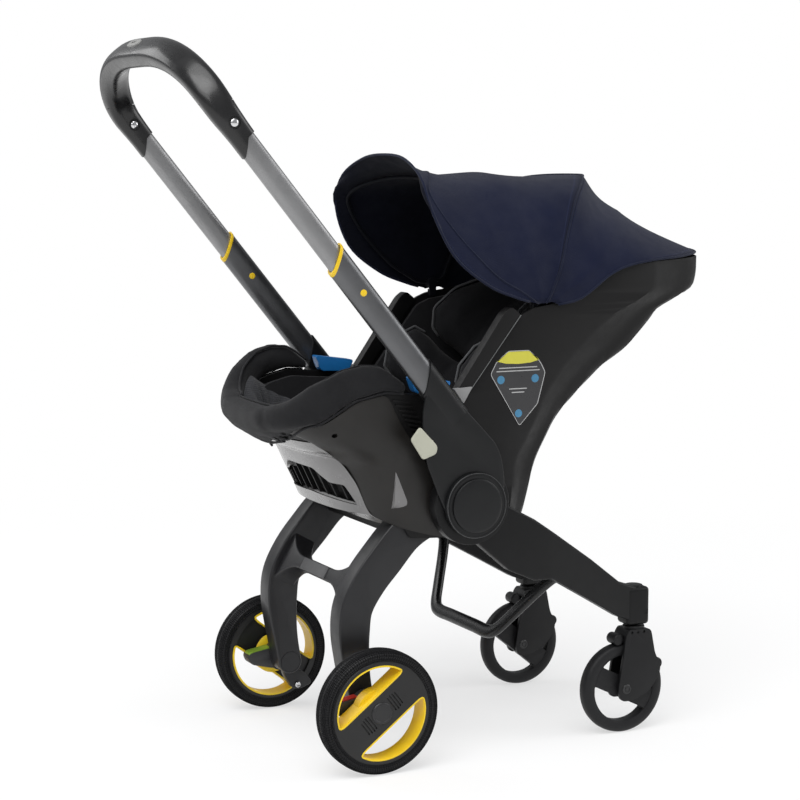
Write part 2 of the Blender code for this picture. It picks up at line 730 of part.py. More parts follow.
def grip_path(count=9):
    """The grip's centre line from the left foot round the two corners to the right foot."""
    low = GRIP_FOOT
    top = GRIP_TOP
    points = [(low, HANDLE_Y), (top - GRIP_CORNER, HANDLE_Y)]
    for i in range(1, count):
        a = pi / 2 * i / (count - 1)
        points.append((top - GRIP_CORNER + GRIP_CORNER * sin(a), HANDLE_Y - GRIP_CORNER * (1 - cos(a))))
    points.append((top, 0.0))
    full = points + [(s, -y) for s, y in reversed(points[:-1])]
    path = []
    for s, y in full:
        x, z = on_handle(s, GRIP_BEND * max(0.0, (s - low - 0.040) / (top - low - 0.040)) ** 1.5)
        path.append((x, y, z))
    return path


def along_handle(outline, s0, s1, edge=0.0):
    """An outline of (off, y) pairs pushed along the handle from s0 to s1."""
    layers = [(outline, s0), (outline, s1)]
    if edge:
        layers = [(outline, s0), (outline, s1 - edge), (inset(outline, edge), s1)]
    rings = []
    for points, s in layers:
        ring = []
        for off, y in points:
            x, z = on_handle(s, off + GRIP_BEND)
            ring.append((x, y, z))
        rings.append(ring)
    return loft(rings)


def build_handle_upper():
    ahead = handle_axes()[1]
    rooms = []
    for name, side in SIDES:
        foot = tube_ring(INNER_TUBE, INNER_TUBE_FOOT, side)
        head = tube_ring(INNER_TUBE, GRIP_FOOT + GRIP_SOCKET, side)
        place("inner_tube_" + name, loft([foot, head]), tube_metal(), "handle_upper")
        room = shrink(INNER_TUBE, -GAP)
        rooms.append(helper("grip_room_" + name, loft([
            tube_ring(room, GRIP_FOOT - 0.03, side), tube_ring(room, GRIP_FOOT + GRIP_SOCKET + GAP, side)]),
            "handle_upper"))
    section = oval(GRIP_SECTION[0], GRIP_SECTION[1], 12, 2.6)
    path = grip_path()
    rings = sweep(path, section, (ahead.x, 0, ahead.y))
    along = handle_axes()[0]
    for ring in (rings[0], rings[-1]):
        for i, point in enumerate(ring):
            off = (Vector((point[0], point[2])) - Vector((path[0][0], path[0][2]))).dot(ahead)
            ring[i] = Vector(point) + Vector((along.x, 0, along.y)) * off * 0.6
    grip = place("grip", loft(rings), black_plastic(), "handle_upper")
    button = [(u, v) for v, u in oval(0.0420, 0.0150, 16, 3.0)]
    top = GRIP_TOP + GRIP_SECTION[1] / 2
    well = helper("grip_button_room", along_handle(inset(button, -0.0004), top - 0.0120, top + 0.02), "handle_upper")
    combine(grip, "DIFFERENCE", *rooms, well)
    place("grip_button", along_handle(button, top - 0.0085, top + 0.0020, 0.0012), grey_plastic(), "grip_button")


BEAM_STATIONS = (
    (0.0000, 0.0300, -0.0480, 0.19475, 0.01050), (0.0585, -0.0076, -0.0975, 0.19475, 0.01050),
    (0.0985, -0.0286, -0.1156, 0.19300, 0.01150), (0.1295, -0.0490, -0.1170, 0.18850, 0.01250),
    (0.2005, -0.0966, -0.1572, 0.17300, 0.01300), (0.2565, -0.1376, -0.1895, 0.16050, 0.01350),
    (0.2880, -0.1480, -0.2000, 0.15600, 0.01350),
)


def beam(side, grow=0.0):
    """The slanting beam from hub to caster head, which bends inwards on its way."""
    rings = []
    for dx, top, bottom, y, half in BEAM_STATIONS:
        top, bottom, half = top + grow, bottom - grow, half + grow
        soft = min(0.006, half * 0.5)
        ring = ((y - half, top - soft), (y - half + soft, top), (y + half - soft, top), (y + half, top - soft),
                (y + half, bottom + soft), (y + half - soft, bottom), (y - half + soft, bottom),
                (y - half, bottom + soft))
        rings.append([(HUB_X + dx, side * across, HUB_Z + dz) for across, dz in ring])
    return loft(rings)


CROSS_TUBE_TOP = (0.1490, -0.1150)
CROSS_TUBE_LOW = (0.0905, -0.2126)


def build_front_legs():
    swivel_x = REAR_AXLE_X + WHEELBASE + CASTER_TRAIL
    near = []
    for name, side in SIDES:
        leg = place("front_leg_" + name,
                    cylinder(hub_point(0, 0), LEG_ROOT_R, side * BEAM_INNER_Y, side * BEAM_OUTER_Y, 32, 0.0015),
                    black_plastic(), "front_legs")
        arm = helper("beam_" + name, beam(side), "front_legs")
        near.append(helper("beam_room_" + name, beam(side, 0.0004), "front_legs"))
        head = helper("caster_head_" + name, upright(swivel_x, side * CASTER_Y, HEAD_R, HEAD_BOTTOM, HEAD_TOP, 24),
                      "front_legs")
        pin = helper("leg_bore_" + name, cylinder(hub_point(0, 0), HUB_PIN_R + GAP, side * 0.16, side * 0.23),
                     "front_legs")
        stem = helper("stem_bore_" + name,
                      upright(swivel_x, side * CASTER_Y, STEM_R + GAP, HEAD_BOTTOM - 0.02, HEAD_TOP - 0.0140, 16),
                      "front_legs")
        combine(leg, "UNION", arm, head)
        combine(leg, "DIFFERENCE", pin, stem)

    top, low = Vector(CROSS_TUBE_TOP), Vector(CROSS_TUBE_LOW)
    line = ((0.186, 0.0), (0.172, 0.07), (0.150, 0.30), (0.118, 0.70), (0.098, 0.93), (0.078, 1.0), (0.040, 1.0),
            (0.0, 1.0))
    half = []
    for y, share in line:
        here = top.lerp(low, share)
        half.append((HUB_X + here.x, y, HUB_Z + here.y))
    full = half + [(x, -y, z) for x, y, z in reversed(half[:-1])]
    path = curve_through(full, 25)
    run = (low - top).normalized()
    tube = place("cross_tube", loft(sweep(path, oval(0.0120, 0.0200, 8, 2.4), (run.y, 0, -run.x))),
                 black_plastic(), "front_legs")
    combine(tube, "DIFFERENCE", *near)


def upright(x, y, radius, z0, z1, sides=24, edge=0.0):
    reach = radius / cos(pi / sides)
    layers = [(reach, z0), (reach, z1)]
    if edge:
        layers = [(reach - edge, z0), (reach, z0 + edge), (reach, z1 - edge), (reach - edge, z1)]
    rings = []
    for r, z in layers:
        turns = [2 * pi * (i + 0.5) / sides for i in range(sides)]
        rings.append([(x + r * cos(a), y + r * sin(a), z) for a in turns])
    return loft(rings)


FORK_OUTLINE = (
    (0.0100, 0.1520), (-0.0110, 0.1520), (-0.0150, 0.1180), (-0.0180, 0.0670), (-0.0090, 0.0500), (0.0110, 0.0490),
    (0.0390, 0.0610), (0.0550, 0.0820), (0.0580, 0.0980), (0.0500, 0.1120), (0.0420, 0.1520),
)
CROWN_FOOT = 0.1350
PLATE_THICK = 0.0050


def lens(centre, radius, half, turn, count=8):
    """The two openings of a wheel, each an arc closed by a chord along the band across the wheel."""
    found = []
    reach = asin(half / radius)
    for flip in (0, pi):
        rim = arc((0, 0), radius, reach, pi - reach, count)
        spun = [(x * cos(turn + flip) - z * sin(turn + flip), x * sin(turn + flip) + z * cos(turn + flip))
                for x, z in rim]
        found.append([(centre[0] + x, centre[1] + z) for x, z in spun])
    return found


def build_casters():
    wheel_x = REAR_AXLE_X + WHEELBASE
    swivel_x = wheel_x + CASTER_TRAIL
    inner = CASTER_WIDTH / 2 + 0.0012
    for name, side in SIDES:
        body = "caster_fork_" + name
        mid = side * CASTER_Y
        outline = [(wheel_x + x, z) for x, z in FORK_OUTLINE]
        fork = place(body, prism(outline, mid - inner - PLATE_THICK, mid + inner + PLATE_THICK, 0.0012),
                     black_plastic(), body)
        slot = helper("fork_slot_" + name,
                      prism([(wheel_x - 0.09, 0.0), (wheel_x + 0.12, 0.0), (wheel_x + 0.12, CROWN_FOOT),
                             (wheel_x - 0.09, CROWN_FOOT)], mid - inner, mid + inner), body)
        neck = helper("fork_neck_" + name, upright(swivel_x, mid, HEAD_R - 0.001, 0.1450, FORK_TOP, 24), body)
        stem = helper("fork_stem_" + name, upright(swivel_x, mid, STEM_R, 0.1500, HEAD_TOP - 0.0145, 16), body)
        axle = helper("fork_axle_" + name,
                      cylinder((wheel_x, CASTER_R), CASTER_AXLE_R, mid - inner - 0.002, mid + inner + 0.002, 12), body)
        combine(fork, "DIFFERENCE", slot)
        combine(fork, "UNION", neck, stem, axle)

        wheel = place("caster_wheel_" + name,
                      prism(circle((wheel_x, CASTER_R), CASTER_R, CASTER_SIDES), mid - CASTER_WIDTH / 2,
                            mid + CASTER_WIDTH / 2, 0.0040), black_plastic(), "caster_wheel_" + name)
        cutters = [helper("caster_bore_" + name,
                          cylinder((wheel_x, CASTER_R), CASTER_AXLE_R + GAP, mid - 0.05, mid + 0.05, 12),
                          "caster_wheel_" + name)]
        turn = CASTER_BAND_ANGLE[name]
        for i, outline in enumerate(lens((wheel_x, CASTER_R), CASTER_LENS_R, CASTER_BAND_HALF, turn)):
            cutters.append(helper(f"caster_lens_{name}_{i}", prism(outline, mid - 0.05, mid + 0.05),
                                  "caster_wheel_" + name))
        combine(wheel, "DIFFERENCE", *cutters)


def build_wheels():
    centre = (REAR_AXLE_X, WHEEL_R)
    for name, side in SIDES:
        body = "wheel_" + name
        mid = side * WHEEL_Y
        half = WHEEL_WIDTH / 2
        profile = ((WHEEL_RIM_R, -half + 0.003), (WHEEL_R - 0.006, -half), (WHEEL_R - 0.0014, -half + 0.0065),
                   (WHEEL_R, -half + 0.0125), (WHEEL_R, half - 0.0125), (WHEEL_R - 0.0014, half - 0.0065),
                   (WHEEL_R - 0.006, half), (WHEEL_RIM_R, half - 0.003))
        rings = []
        for radius, y in profile:
            rings.append([(x, mid + y, z) for x, z in circle(centre, radius, WHEEL_SIDES)])
        place("tyre_" + name, loft(rings, wrap=True), rubber(), body)

        bore = helper("wheel_bore_" + name, cylinder(centre, AXLE_R + GAP, side * 0.15, side * 0.25, 20), body)
        rim = WHEEL_RIM_R - GAP
        inner_face = mid - side * (half - 0.0040)
        seam = mid + side * 0.0030
        core = place("wheel_core_" + name, prism(circle(centre, rim, WHEEL_SIDES), inner_face, seam, 0.0008),
                     yellow_plastic(), body)
        windows = [bore]
        for i, outline in enumerate(lens(centre, LENS_R - 0.0055, BAND_HALF + 0.0040, BAND_ANGLE * side * -1)):
            windows.append(helper(f"core_lens_{name}_{i}", prism(outline, side * 0.15, side * 0.25), body))
        combine(core, "DIFFERENCE", *windows)
        outer_face = mid + side * (half - 0.0015)
        face = place("wheel_face_" + name,
                     prism(circle(centre, rim, WHEEL_SIDES), seam + side * GAP, outer_face, 0.0015),
                     grey_plastic(), body)
        cutters = [bore]
        for i, outline in enumerate(lens(centre, LENS_R, BAND_HALF, BAND_ANGLE * side * -1)):
            cutters.append(helper(f"wheel_lens_{name}_{i}", prism(outline, side * 0.15, side * 0.25), body))
        combine(face, "DIFFERENCE", *cutters)

        place("wheel_axle_" + name,
              cylinder(centre, AXLE_R, side * (REAR_LEG_Y - 0.0170), outer_face - side * 0.0010, 20, 0.0008),
              steel(), "rear_legs")


def build_rear_legs():
    outline = leg_outline()
    bar, centre, run, out = bar_outline()
    pieces = []
    frame = None
    for name, side in SIDES:
        y0 = side * (REAR_LEG_Y - REAR_LEG_THICK / 2)
        y1 = side * (REAR_LEG_Y + REAR_LEG_THICK / 2)
        leg = prism(outline, y0, y1, 0.0030)
        if frame is None:
            frame = place("rear_leg_frame", leg, black_plastic(), "rear_legs")
        else:
            pieces.append(helper("rear_leg_" + name, leg, "rear_legs"))
    reach = REAR_LEG_Y - REAR_LEG_THICK / 2 + 0.0040
    rings = []
    for i in range(-7, 8):
        y = reach * i / 7
        flare = max(0.0, (abs(y) - 0.055) / (reach - 0.055)) ** 2.2 * 0.0290
        half_run, half_out = BAR_HEIGHT / 2 + flare, BAR_DEPTH / 2
        corners = ((-half_run, -half_out), (half_run, -half_out), (half_run, half_out), (-half_run, half_out))
        ring = []
        for a, b in corners:
            here = centre + run * a + out * b
            ring.append((here.x, y, here.y))
        rings.append(ring)
    pieces.append(helper("leg_bar", loft(rings), "rear_legs"))
    combine(frame, "UNION", *pieces)
    holes = []
    for name, side in SIDES:
        holes.append(helper("root_bore_" + name,
                            cylinder(hub_point(*REAR_PIVOT), REAR_PIN_R + GAP, side * 0.10, side * 0.16, 20),
                            "rear_legs"))
        holes.append(helper("axle_bore_" + name,
                            cylinder((REAR_AXLE_X, WHEEL_R), AXLE_R + GAP, side * (REAR_LEG_Y - 0.0175), side * 0.16,
                                     20), "rear_legs"))
    combine(frame, "DIFFERENCE", *holes)

    for name, side in SIDES:
        body = "brake_pedal_" + name
        y0 = side * (REAR_LEG_Y + REAR_LEG_THICK / 2 + 0.0030)
        y1 = y0 + side * 0.0240
        middle = (REAR_AXLE_X, WHEEL_R)
        outline = [(REAR_AXLE_X - 0.0520, WHEEL_R + 0.0060), (REAR_AXLE_X - 0.0500, WHEEL_R + 0.0130),
                   (REAR_AXLE_X - 0.0180, WHEEL_R + 0.0130)]
        outline += arc(middle, 0.0150, radians(105), radians(-110), 9)
        outline += [(REAR_AXLE_X - 0.0200, WHEEL_R - 0.0040)]
        pedal = place(body, prism(outline, y0, y1, 0.0010), red_plastic(), body)
        hole = helper("pedal_bore_" + name,
                      cylinder(middle, AXLE_R + GAP, side * 0.14, side * 0.19, 20), body)
        combine(pedal, "DIFFERENCE", hole)


# Canopy: arches from the low corner on the left to the top, as (dx, y, dz) from the hub.
ARCHES = (
    ((0.1020, 0.178, 0.2728), (0.0810, 0.1785, 0.2790), (0.0370, 0.179, 0.2970), (-0.0135, 0.177, 0.3370),
     (-0.0415, 0.164, 0.3970), (-0.0445, 0.135, 0.4424), (-0.0395, 0.070, 0.4694), (-0.0365, 0.0, 0.4754)),
    ((0.1155, 0.1785, 0.2695), (0.0885, 0.1785, 0.2874), (0.0545, 0.178, 0.3064), (0.0215, 0.176, 0.3364),
     (-0.0145, 0.168, 0.3774), (-0.0365, 0.145, 0.4224), (-0.005, 0.080, 0.4474), (0.0185, 0.0, 0.4504)),
    ((0.1195, 0.1785, 0.2700), (0.115, 0.178, 0.3000), (0.105, 0.172, 0.3400), (0.095, 0.150, 0.3950),
     (0.100, 0.100, 0.4380), (0.1105, 0.0, 0.4494)),
    ((0.1275, 0.1785, 0.2700), (0.1355, 0.178, 0.2814), (0.1525, 0.175, 0.3184), (0.1685, 0.165, 0.3624),
     (0.1925, 0.145, 0.4114), (0.235, 0.090, 0.4390), (0.2765, 0.0, 0.4444)),
    ((0.1375, 0.1785, 0.2715), (0.160, 0.178, 0.2850), (0.200, 0.176, 0.3120), (0.232, 0.168, 0.3460),
     (0.270, 0.130, 0.3750), (0.310, 0.070, 0.3890), (0.3355, 0.0, 0.3934)),
    ((0.1475, 0.1785, 0.2674), (0.1805, 0.1785, 0.2734), (0.2065, 0.1785, 0.2894), (0.2315, 0.1785, 0.3074),
     (0.2625, 0.1785, 0.3194), (0.3055, 0.1780, 0.3264), (0.360, 0.160, 0.3292), (0.410, 0.120, 0.3322),
     (0.434, 0.060, 0.3342), (0.4400, 0.0, 0.3346)),
)
COLUMNS = 17


def arch(index):
    half = [(HUB_X + x, y, HUB_Z + z) for x, y, z in ARCHES[index]]
    return curve_through(half + [(x, -y, z) for x, y, z in reversed(half[:-1])], COLUMNS)


def fabric(name, rows, material, body, thick=FABRIC_THICK):
    """A sheet through the rows of points, its thickness laid on the inside."""
    mesh = bmesh.new()
    made = [[mesh.verts.new(p) for p in row] for row in rows]
    for low, high in zip(made, made[1:]):
        for i in range(len(low) - 1):
            mesh.faces.new((low[i], low[i + 1], high[i + 1], high[i]))
    empty, here = EMPTIES[body]
    mesh.normal_update()
    top = max(mesh.faces, key=lambda f: f.calc_center_median().z)
    if top.normal.z < 0:
        bmesh.ops.reverse_faces(mesh, faces=mesh.faces)
    bmesh.ops.translate(mesh, verts=mesh.verts, vec=-here)
    data = bpy.data.meshes.new(name)
    mesh.to_mesh(data)
    mesh.free()
    obj = bpy.data.objects.new(name, data)
    bpy.context.collection.objects.link(obj)
    obj.parent = empty
    data.materials.append(material)
    data.shade_smooth()
    shell = obj.modifiers.new("thickness", "SOLIDIFY")
    shell.thickness = thick
    shell.offset = -1
    shell.use_even_offset = False
    return obj


def between(first, second, share):
    return [a.lerp(b, share) for a, b in zip(first, second)]


def puffed(first, second, share, sag):
    """A row of cloth between two arches, drawn in by sag towards the middle of the canopy."""
    centre = Vector((HUB_X + 0.12, 0, HUB_Z + 0.26))
    row = []
    for i, point in enumerate(between(first, second, share)):
        width = sin(pi * i / (COLUMNS - 1))
        away = (point - centre).normalized()
        row.append(point - away * sag * width)
    return row


def bow(name, row, body, y):
    """A bent rod under the cloth, ending in an eye on each canopy pivot."""
    centre = Vector((HUB_X + 0.12, 0, HUB_Z + 0.26))
    pivot = Vector((HUB_X + CANOPY_PIVOT[0], 0, HUB_Z + CANOPY_PIVOT[1]))
    inner = []
    for point in row:
        away = (point - centre).normalized()
        moved = point - away * 0.0105
        moved.y = max(-y, min(y, moved.y))
        if (moved - Vector((pivot.x, moved.y, pivot.z))).length > 0.016 or abs(moved.y) < y - 0.01:
            inner.append(moved)
    first = Vector((pivot.x, y, pivot.z))
    last = Vector((pivot.x, -y, pivot.z))
    path = [first] + inner + [last]
    rod = place(name, loft(tube_along(path, 0.0028, 6)), black_plastic(), body)
    eyes = [helper(f"{name}_eye_{i}", cylinder((pivot.x, pivot.z), 0.0075, at - 0.0012, at + 0.0012, 12), body)
            for i, at in enumerate((y, -y))]
    combine(rod, "UNION", *eyes)
    holes = [helper(f"{name}_hole_{i}", cylinder((pivot.x, pivot.z), 0.0033, at - 0.01, at + 0.01, 10), body)
             for i, at in enumerate((y, -y))]
    combine(rod, "DIFFERENCE", *holes)
    return rod


def tube_along(path, radius, sides):
    """Round rings along a free path, turned as little as possible from one to the next."""
    path = [Vector(p) for p in path]
    rings = []
    up = None
    for i, here in enumerate(path):
        run = (path[min(i + 1, len(path) - 1)] - path[max(i - 1, 0)]).normalized()
        if up is None:
            up = Vector((0, 1, 0)) if abs(run.y) < 0.9 else Vector((1, 0, 0))
        up = (up - run * up.dot(run)).normalized()
        across = run.cross(up)
        rings.append([here + up * radius * cos(2 * pi * k / sides) + across * radius * sin(2 * pi * k / sides)
                      for k in range(sides)])
    return rings


def build_canopy():
    edges = [arch(i) for i in range(6)]
    fabric("canopy_visor", [edges[0], between(edges[0], edges[1], 0.90)], navy_fabric(), "canopy_front")
    front = [edges[1], puffed(edges[1], edges[2], 0.5, 0.004), edges[2], puffed(edges[2], edges[3], 0.5, 0.006),
             between(edges[2], edges[3], 0.97)]
    fabric("canopy_front_panel", front, navy_fabric(), "canopy_front")
    rear = [edges[3], puffed(edges[3], edges[4], 0.5, 0.005), edges[4], puffed(edges[4], edges[5], 0.5, 0.003),
            edges[5]]
    fabric("canopy_rear_panel", rear, navy_fabric(), "canopy_mid")
    bow("canopy_front_bow", edges[1], "canopy_front", 0.1725)
    bow("canopy_mid_bow", edges[3], "canopy_mid", 0.1662)
    for name, side in SIDES:
        pivot = hub_point(*CANOPY_PIVOT)
        disc = place("canopy_pivot_" + name, cylinder(pivot, 0.0080, side * 0.1590, side * 0.1622, 16, 0.0006),
                     black_plastic(), "seat")
        stem = helper("pivot_stem_" + name, cylinder(pivot, 0.0030, side * 0.1610, side * 0.1748, 10), "seat")
        x, z = pivot
        plate = helper("pivot_plate_" + name, prism([(x - 0.0060, z), (x - 0.0052, z - 0.0200),
                                                     (x + 0.0052, z - 0.0200), (x + 0.0060, z)],
                                                    side * 0.1592, side * 0.1621), "seat")
        foot = helper("pivot_foot_" + name, prism([(x - 0.0048, z - 0.0100), (x - 0.0048, z - 0.0196),
                                                   (x + 0.0048, z - 0.0196), (x + 0.0048, z - 0.0100)],
                                                  side * 0.1600, side * 0.1677), "seat")
        combine(disc, "UNION", stem, plate, foot)


def liner_levels(depth):
    """The bucket's levels drawn in by a depth, its floor raised by as much."""
    found = []
    for dz, front, crease, corner, back, half, half_corner in inner_levels():
        found.append((dz, front + depth, crease - depth * 0.4, corner - depth * 0.7, back - depth, half - depth,
                      half_corner - depth * 0.7))
    return found


def build_liner():
    outer = [v for v in liner_levels(0.0040)]
    floor = list(outer[0])
    floor[0] += GAP
    outer[0] = tuple(floor)
    inner = [v for v in liner_levels(LINER_THICK)]
    lowest = list(inner[0])
    lowest[0] += LINER_THICK
    inner = [tuple(lowest)] + inner[2:]
    liner = place("seat_liner", shell_loft(outer), charcoal_fabric(), "seat")
    room = helper("liner_room", shell_loft(inner), "seat")
    trim = helper("liner_trim", above_rim(0.0090, 0.10), "seat")
    combine(liner, "DIFFERENCE", room, trim)


BACK_FOOT = (0.0850, -0.0200)
BACK_RISE = radians(47)


def on_back(t, m):
    """A point t up the backrest and m out from it."""
    return (BACK_FOOT[0] + t * cos(BACK_RISE) - m * sin(BACK_RISE),
            BACK_FOOT[1] + t * sin(BACK_RISE) + m * cos(BACK_RISE))


def wing_ring(t, seat, base, top, outer, thick, lean):
    """One section of a padded insert: a back that rests on the liner, with two wings, crowned along every edge."""
    inner = outer - thick
    half = (
        (0.0, seat), (outer * 0.50, seat + 0.0002), (outer * 0.80, seat + 0.0036), (outer * 0.95, base + 0.020),
        (outer, min(base + 0.060, top - 0.028)), (outer + lean * 0.6, top - 0.018),
        (outer + lean - thick * 0.18, top - 0.004),
        (outer + lean - thick * 0.50, top), (inner + lean + thick * 0.12, top - 0.006),
        (inner + lean * 0.6, top - 0.022), (inner, min(base + 0.072, top - 0.030)),
        (inner * 0.92, min(base + 0.046, top - 0.044)), (inner * 0.66, base + 0.030), (0.0, base + 0.024),
    )
    ring = []
    for y, m in half:
        x, z = hub_point(*on_back(t, m))
        ring.append((x, y, z))
    return ring + [(x, -y, z) for x, y, z in reversed(ring[1:-1])]


def build_supports():
    body = ((0.0800, 0.0271, 0.054, 0.150, 0.124, 0.018, 0.002), (0.0850, 0.0276, 0.053, 0.172, 0.128, 0.026, 0.003),
            (0.1050, 0.0309, 0.052, 0.184, 0.130, 0.030, 0.004), (0.1400, 0.0382, 0.052, 0.184, 0.130, 0.030, 0.004),
            (0.1620, 0.0370, 0.052, 0.174, 0.129, 0.027, 0.003), (0.1680, 0.0366, 0.053, 0.150, 0.125, 0.018, 0.002))
    place("body_support", loft([wing_ring(*v) for v in body]), charcoal_fabric(), "seat")
    head = ((0.1760, 0.0360, 0.052, 0.128, 0.128, 0.018, 0.002), (0.1810, 0.0357, 0.051, 0.150, 0.132, 0.028, 0.003),
            (0.2050, 0.0332, 0.050, 0.168, 0.134, 0.033, 0.004), (0.2500, 0.0279, 0.046, 0.162, 0.134, 0.033, 0.003),
            (0.2900, 0.0174, 0.040, 0.140, 0.130, 0.030, 0.002), (0.3100, 0.0161, 0.038, 0.124, 0.126, 0.026, 0.000),
            (0.3160, 0.0159, 0.039, 0.108, 0.122, 0.017, 0.000))
    place("head_support", loft([wing_ring(*v) for v in head]), charcoal_fabric(), "seat")


# Padded cover round the foot end: along the shell's plan, the height of its crown above the hub and its bulge.
COVER_CROWN = ((-0.300, 0.1500), (-0.240, 0.1560), (-0.205, 0.1800), (-0.165, 0.1950), (-0.125, 0.1940),
               (-0.095, 0.1760), (-0.080, 0.1640))


def table(pairs, x):
    for (x0, v0), (x1, v1) in zip(pairs, pairs[1:]):
        if x <= x1:
            return v0 + (v1 - v0) * max(0.0, (x - x0) / (x1 - x0))
    return pairs[-1][1]


def build_cover():
    level = level_at(SHELL_LEVELS, 0.1400)
    front, crease, half = level[1], level[2], level[5]
    nose = min(0.130, (crease - front) * 0.62)
    side = [(front, 0.0), (front + 0.0003, half * 0.20), (front + 0.0017, half * 0.40)]
    for x in (-0.2450, -0.2400, -0.2300, -0.2180, -0.2050, -0.1930, -0.1810, -0.1600, -0.1400, -0.1170, -0.0980,
              -0.0850):
        left = max(0.0, 1 - (x - front) / nose)
        side.append((x, half * (1 - left ** 2.6) ** (1 / 2.6)))
    line = [(x, -y) for x, y in reversed(side[1:])] + side
    rings = []
    for i, (x, y) in enumerate(line):
        before, after = line[max(i - 1, 0)], line[min(i + 1, len(line) - 1)]
        run = Vector((after[0] - before[0], after[1] - before[1])).normalized()
        out = Vector((-run.y, run.x))
        if out.dot(Vector((x + 0.10, y))) < 0:
            out = -out
        ahead = max(0.0, -out.x)
        bulge = 0.0035 + 0.0180 * ahead ** 1.6
        skirt = 0.0130 * min(1.0, max(0.0, (-0.2150 - x) / 0.0200))
        crown = table(COVER_CROWN, x)
        ends = 0.6 if i in (0, len(line) - 1) else 1.0
        section = (
            (0.0012, 0.0, 0.0), (0.0020, 0.0, skirt), (bulge * 0.70 + 0.0012, 0.04, skirt * 0.8),
            (bulge * 0.95, 0.30, 0.0), (bulge, 0.58, 0.0), (bulge * 0.80, 0.82, 0.0),
            (bulge * 0.30 * ends, 0.97, 0.0), (-0.0060, 1.0, 0.0), (-0.0145 * ends - 0.001, 0.93, 0.0),
            (-0.0185 * ends, 0.70, 0.0), (-0.0170 * ends, 0.35, 0.0), (-0.0120 * ends, 0.0, 0.0),
        )
        ring = []
        for d, share, drop in section:
            at = x + out.x * d
            foot = rim_height(at) + 0.0010
            rise = (max(crown, foot + 0.008) - foot) * (0.80 if ends < 1 else 1.0)
            ring.append((HUB_X + at, y + out.y * d, HUB_Z + foot + rise * share - drop))
        rings.append(ring)
    place("foot_cover", loft(rings), charcoal_fabric(), "seat")


def strap(path, width, thick):
    """A flat band whose width lies across the seat."""
    rings = []
    path = [Vector(p) for p in path]
    for i, here in enumerate(path):
        run = (path[min(i + 1, len(path) - 1)] - path[max(i - 1, 0)]).normalized()
        wide = Vector((0, 1, 0))
        wide = (wide - run * wide.dot(run)).normalized()
        up = run.cross(wide)
        rings.append([here + wide * a * width / 2 + up * b * thick / 2
                      for a, b in ((-1, -0.6), (-0.9, -1), (0.9, -1), (1, -0.6), (1, 0.6), (0.9, 1), (-0.9, 1),
                                   (-1, 0.6))])
    return rings


def build_harness():
    for name, side in SIDES:
        points = []
        for t, m, y in ((0.300, 0.0710, 0.040), (0.250, 0.0779, 0.040), (0.205, 0.0818, 0.040),
                        (0.165, 0.0843, 0.040), (0.120, 0.0843, 0.038), (0.085, 0.0859, 0.036),
                        (0.055, 0.0920, 0.033), (0.020, 0.1080, 0.027)):
            x, z = hub_point(*on_back(t, m))
            points.append((x, side * y, z))
        place("shoulder_strap_" + name, loft(strap(curve_through(points, 14), 0.038, 0.0040)), webbing(), "seat")
    x, z = hub_point(*BUCKLE_AT)
    buckle = place("buckle", prism([(x - 0.008, z - 0.026), (x + 0.007, z - 0.026), (x + 0.009, z + 0.020),
                                    (x + 0.004, z + 0.028), (x - 0.006, z + 0.028), (x - 0.010, z + 0.018)],
                                   -0.0220, 0.0220, 0.0025), black_plastic(), "seat")
    stalk = helper("crotch_strap", prism([(x - 0.002, z - 0.024), (x + 0.002, z - 0.024),
                                          (x + 0.006, HUB_Z - 0.0277), (x + 0.002, HUB_Z - 0.0277)],
                                         -0.0180, 0.0180), "seat")
    room = helper("press_room", cylinder_x(x, z - 0.002, 0.0088, -0.0142, -0.0030), "seat")
    combine(buckle, "UNION", stalk)
    combine(buckle, "DIFFERENCE", room)
    place("buckle_button", cylinder_x(x, z - 0.002, 0.0084, -0.0108, -0.0066), red_plastic(), "buckle_button")


def cylinder_x(x, z, radius, x0, x1, sides=16):
    """A round bar along X through (0, z), from x + x0 to x + x1."""
    turns = [2 * pi * i / sides for i in range(sides)]
    return loft([[(x + at, radius * cos(a), z + radius * sin(a)) for a in turns] for at in (x0, x1)])


def build_guides():
    outline = hub_outline(((-0.0790, 0.1760), (-0.0160, 0.1670), (-0.0255, 0.1504), (-0.0700, 0.1523)))
    for name, side in SIDES:
        place("belt_guide_" + name, prism(outline, side * 0.1545, side * 0.1725, 0.0015), blue_plastic(), "seat")


def main():
    clear_scene()
    make_bodies()
    build_seat()
    build_side_panels()
    build_rails()
    build_pins()
    build_liner()
    build_supports()
    build_cover()
    build_harness()
    build_guides()
    build_handle()
    build_handle_upper()
    build_front_legs()
    build_casters()
    build_wheels()
    build_rear_legs()
    build_canopy()


main()
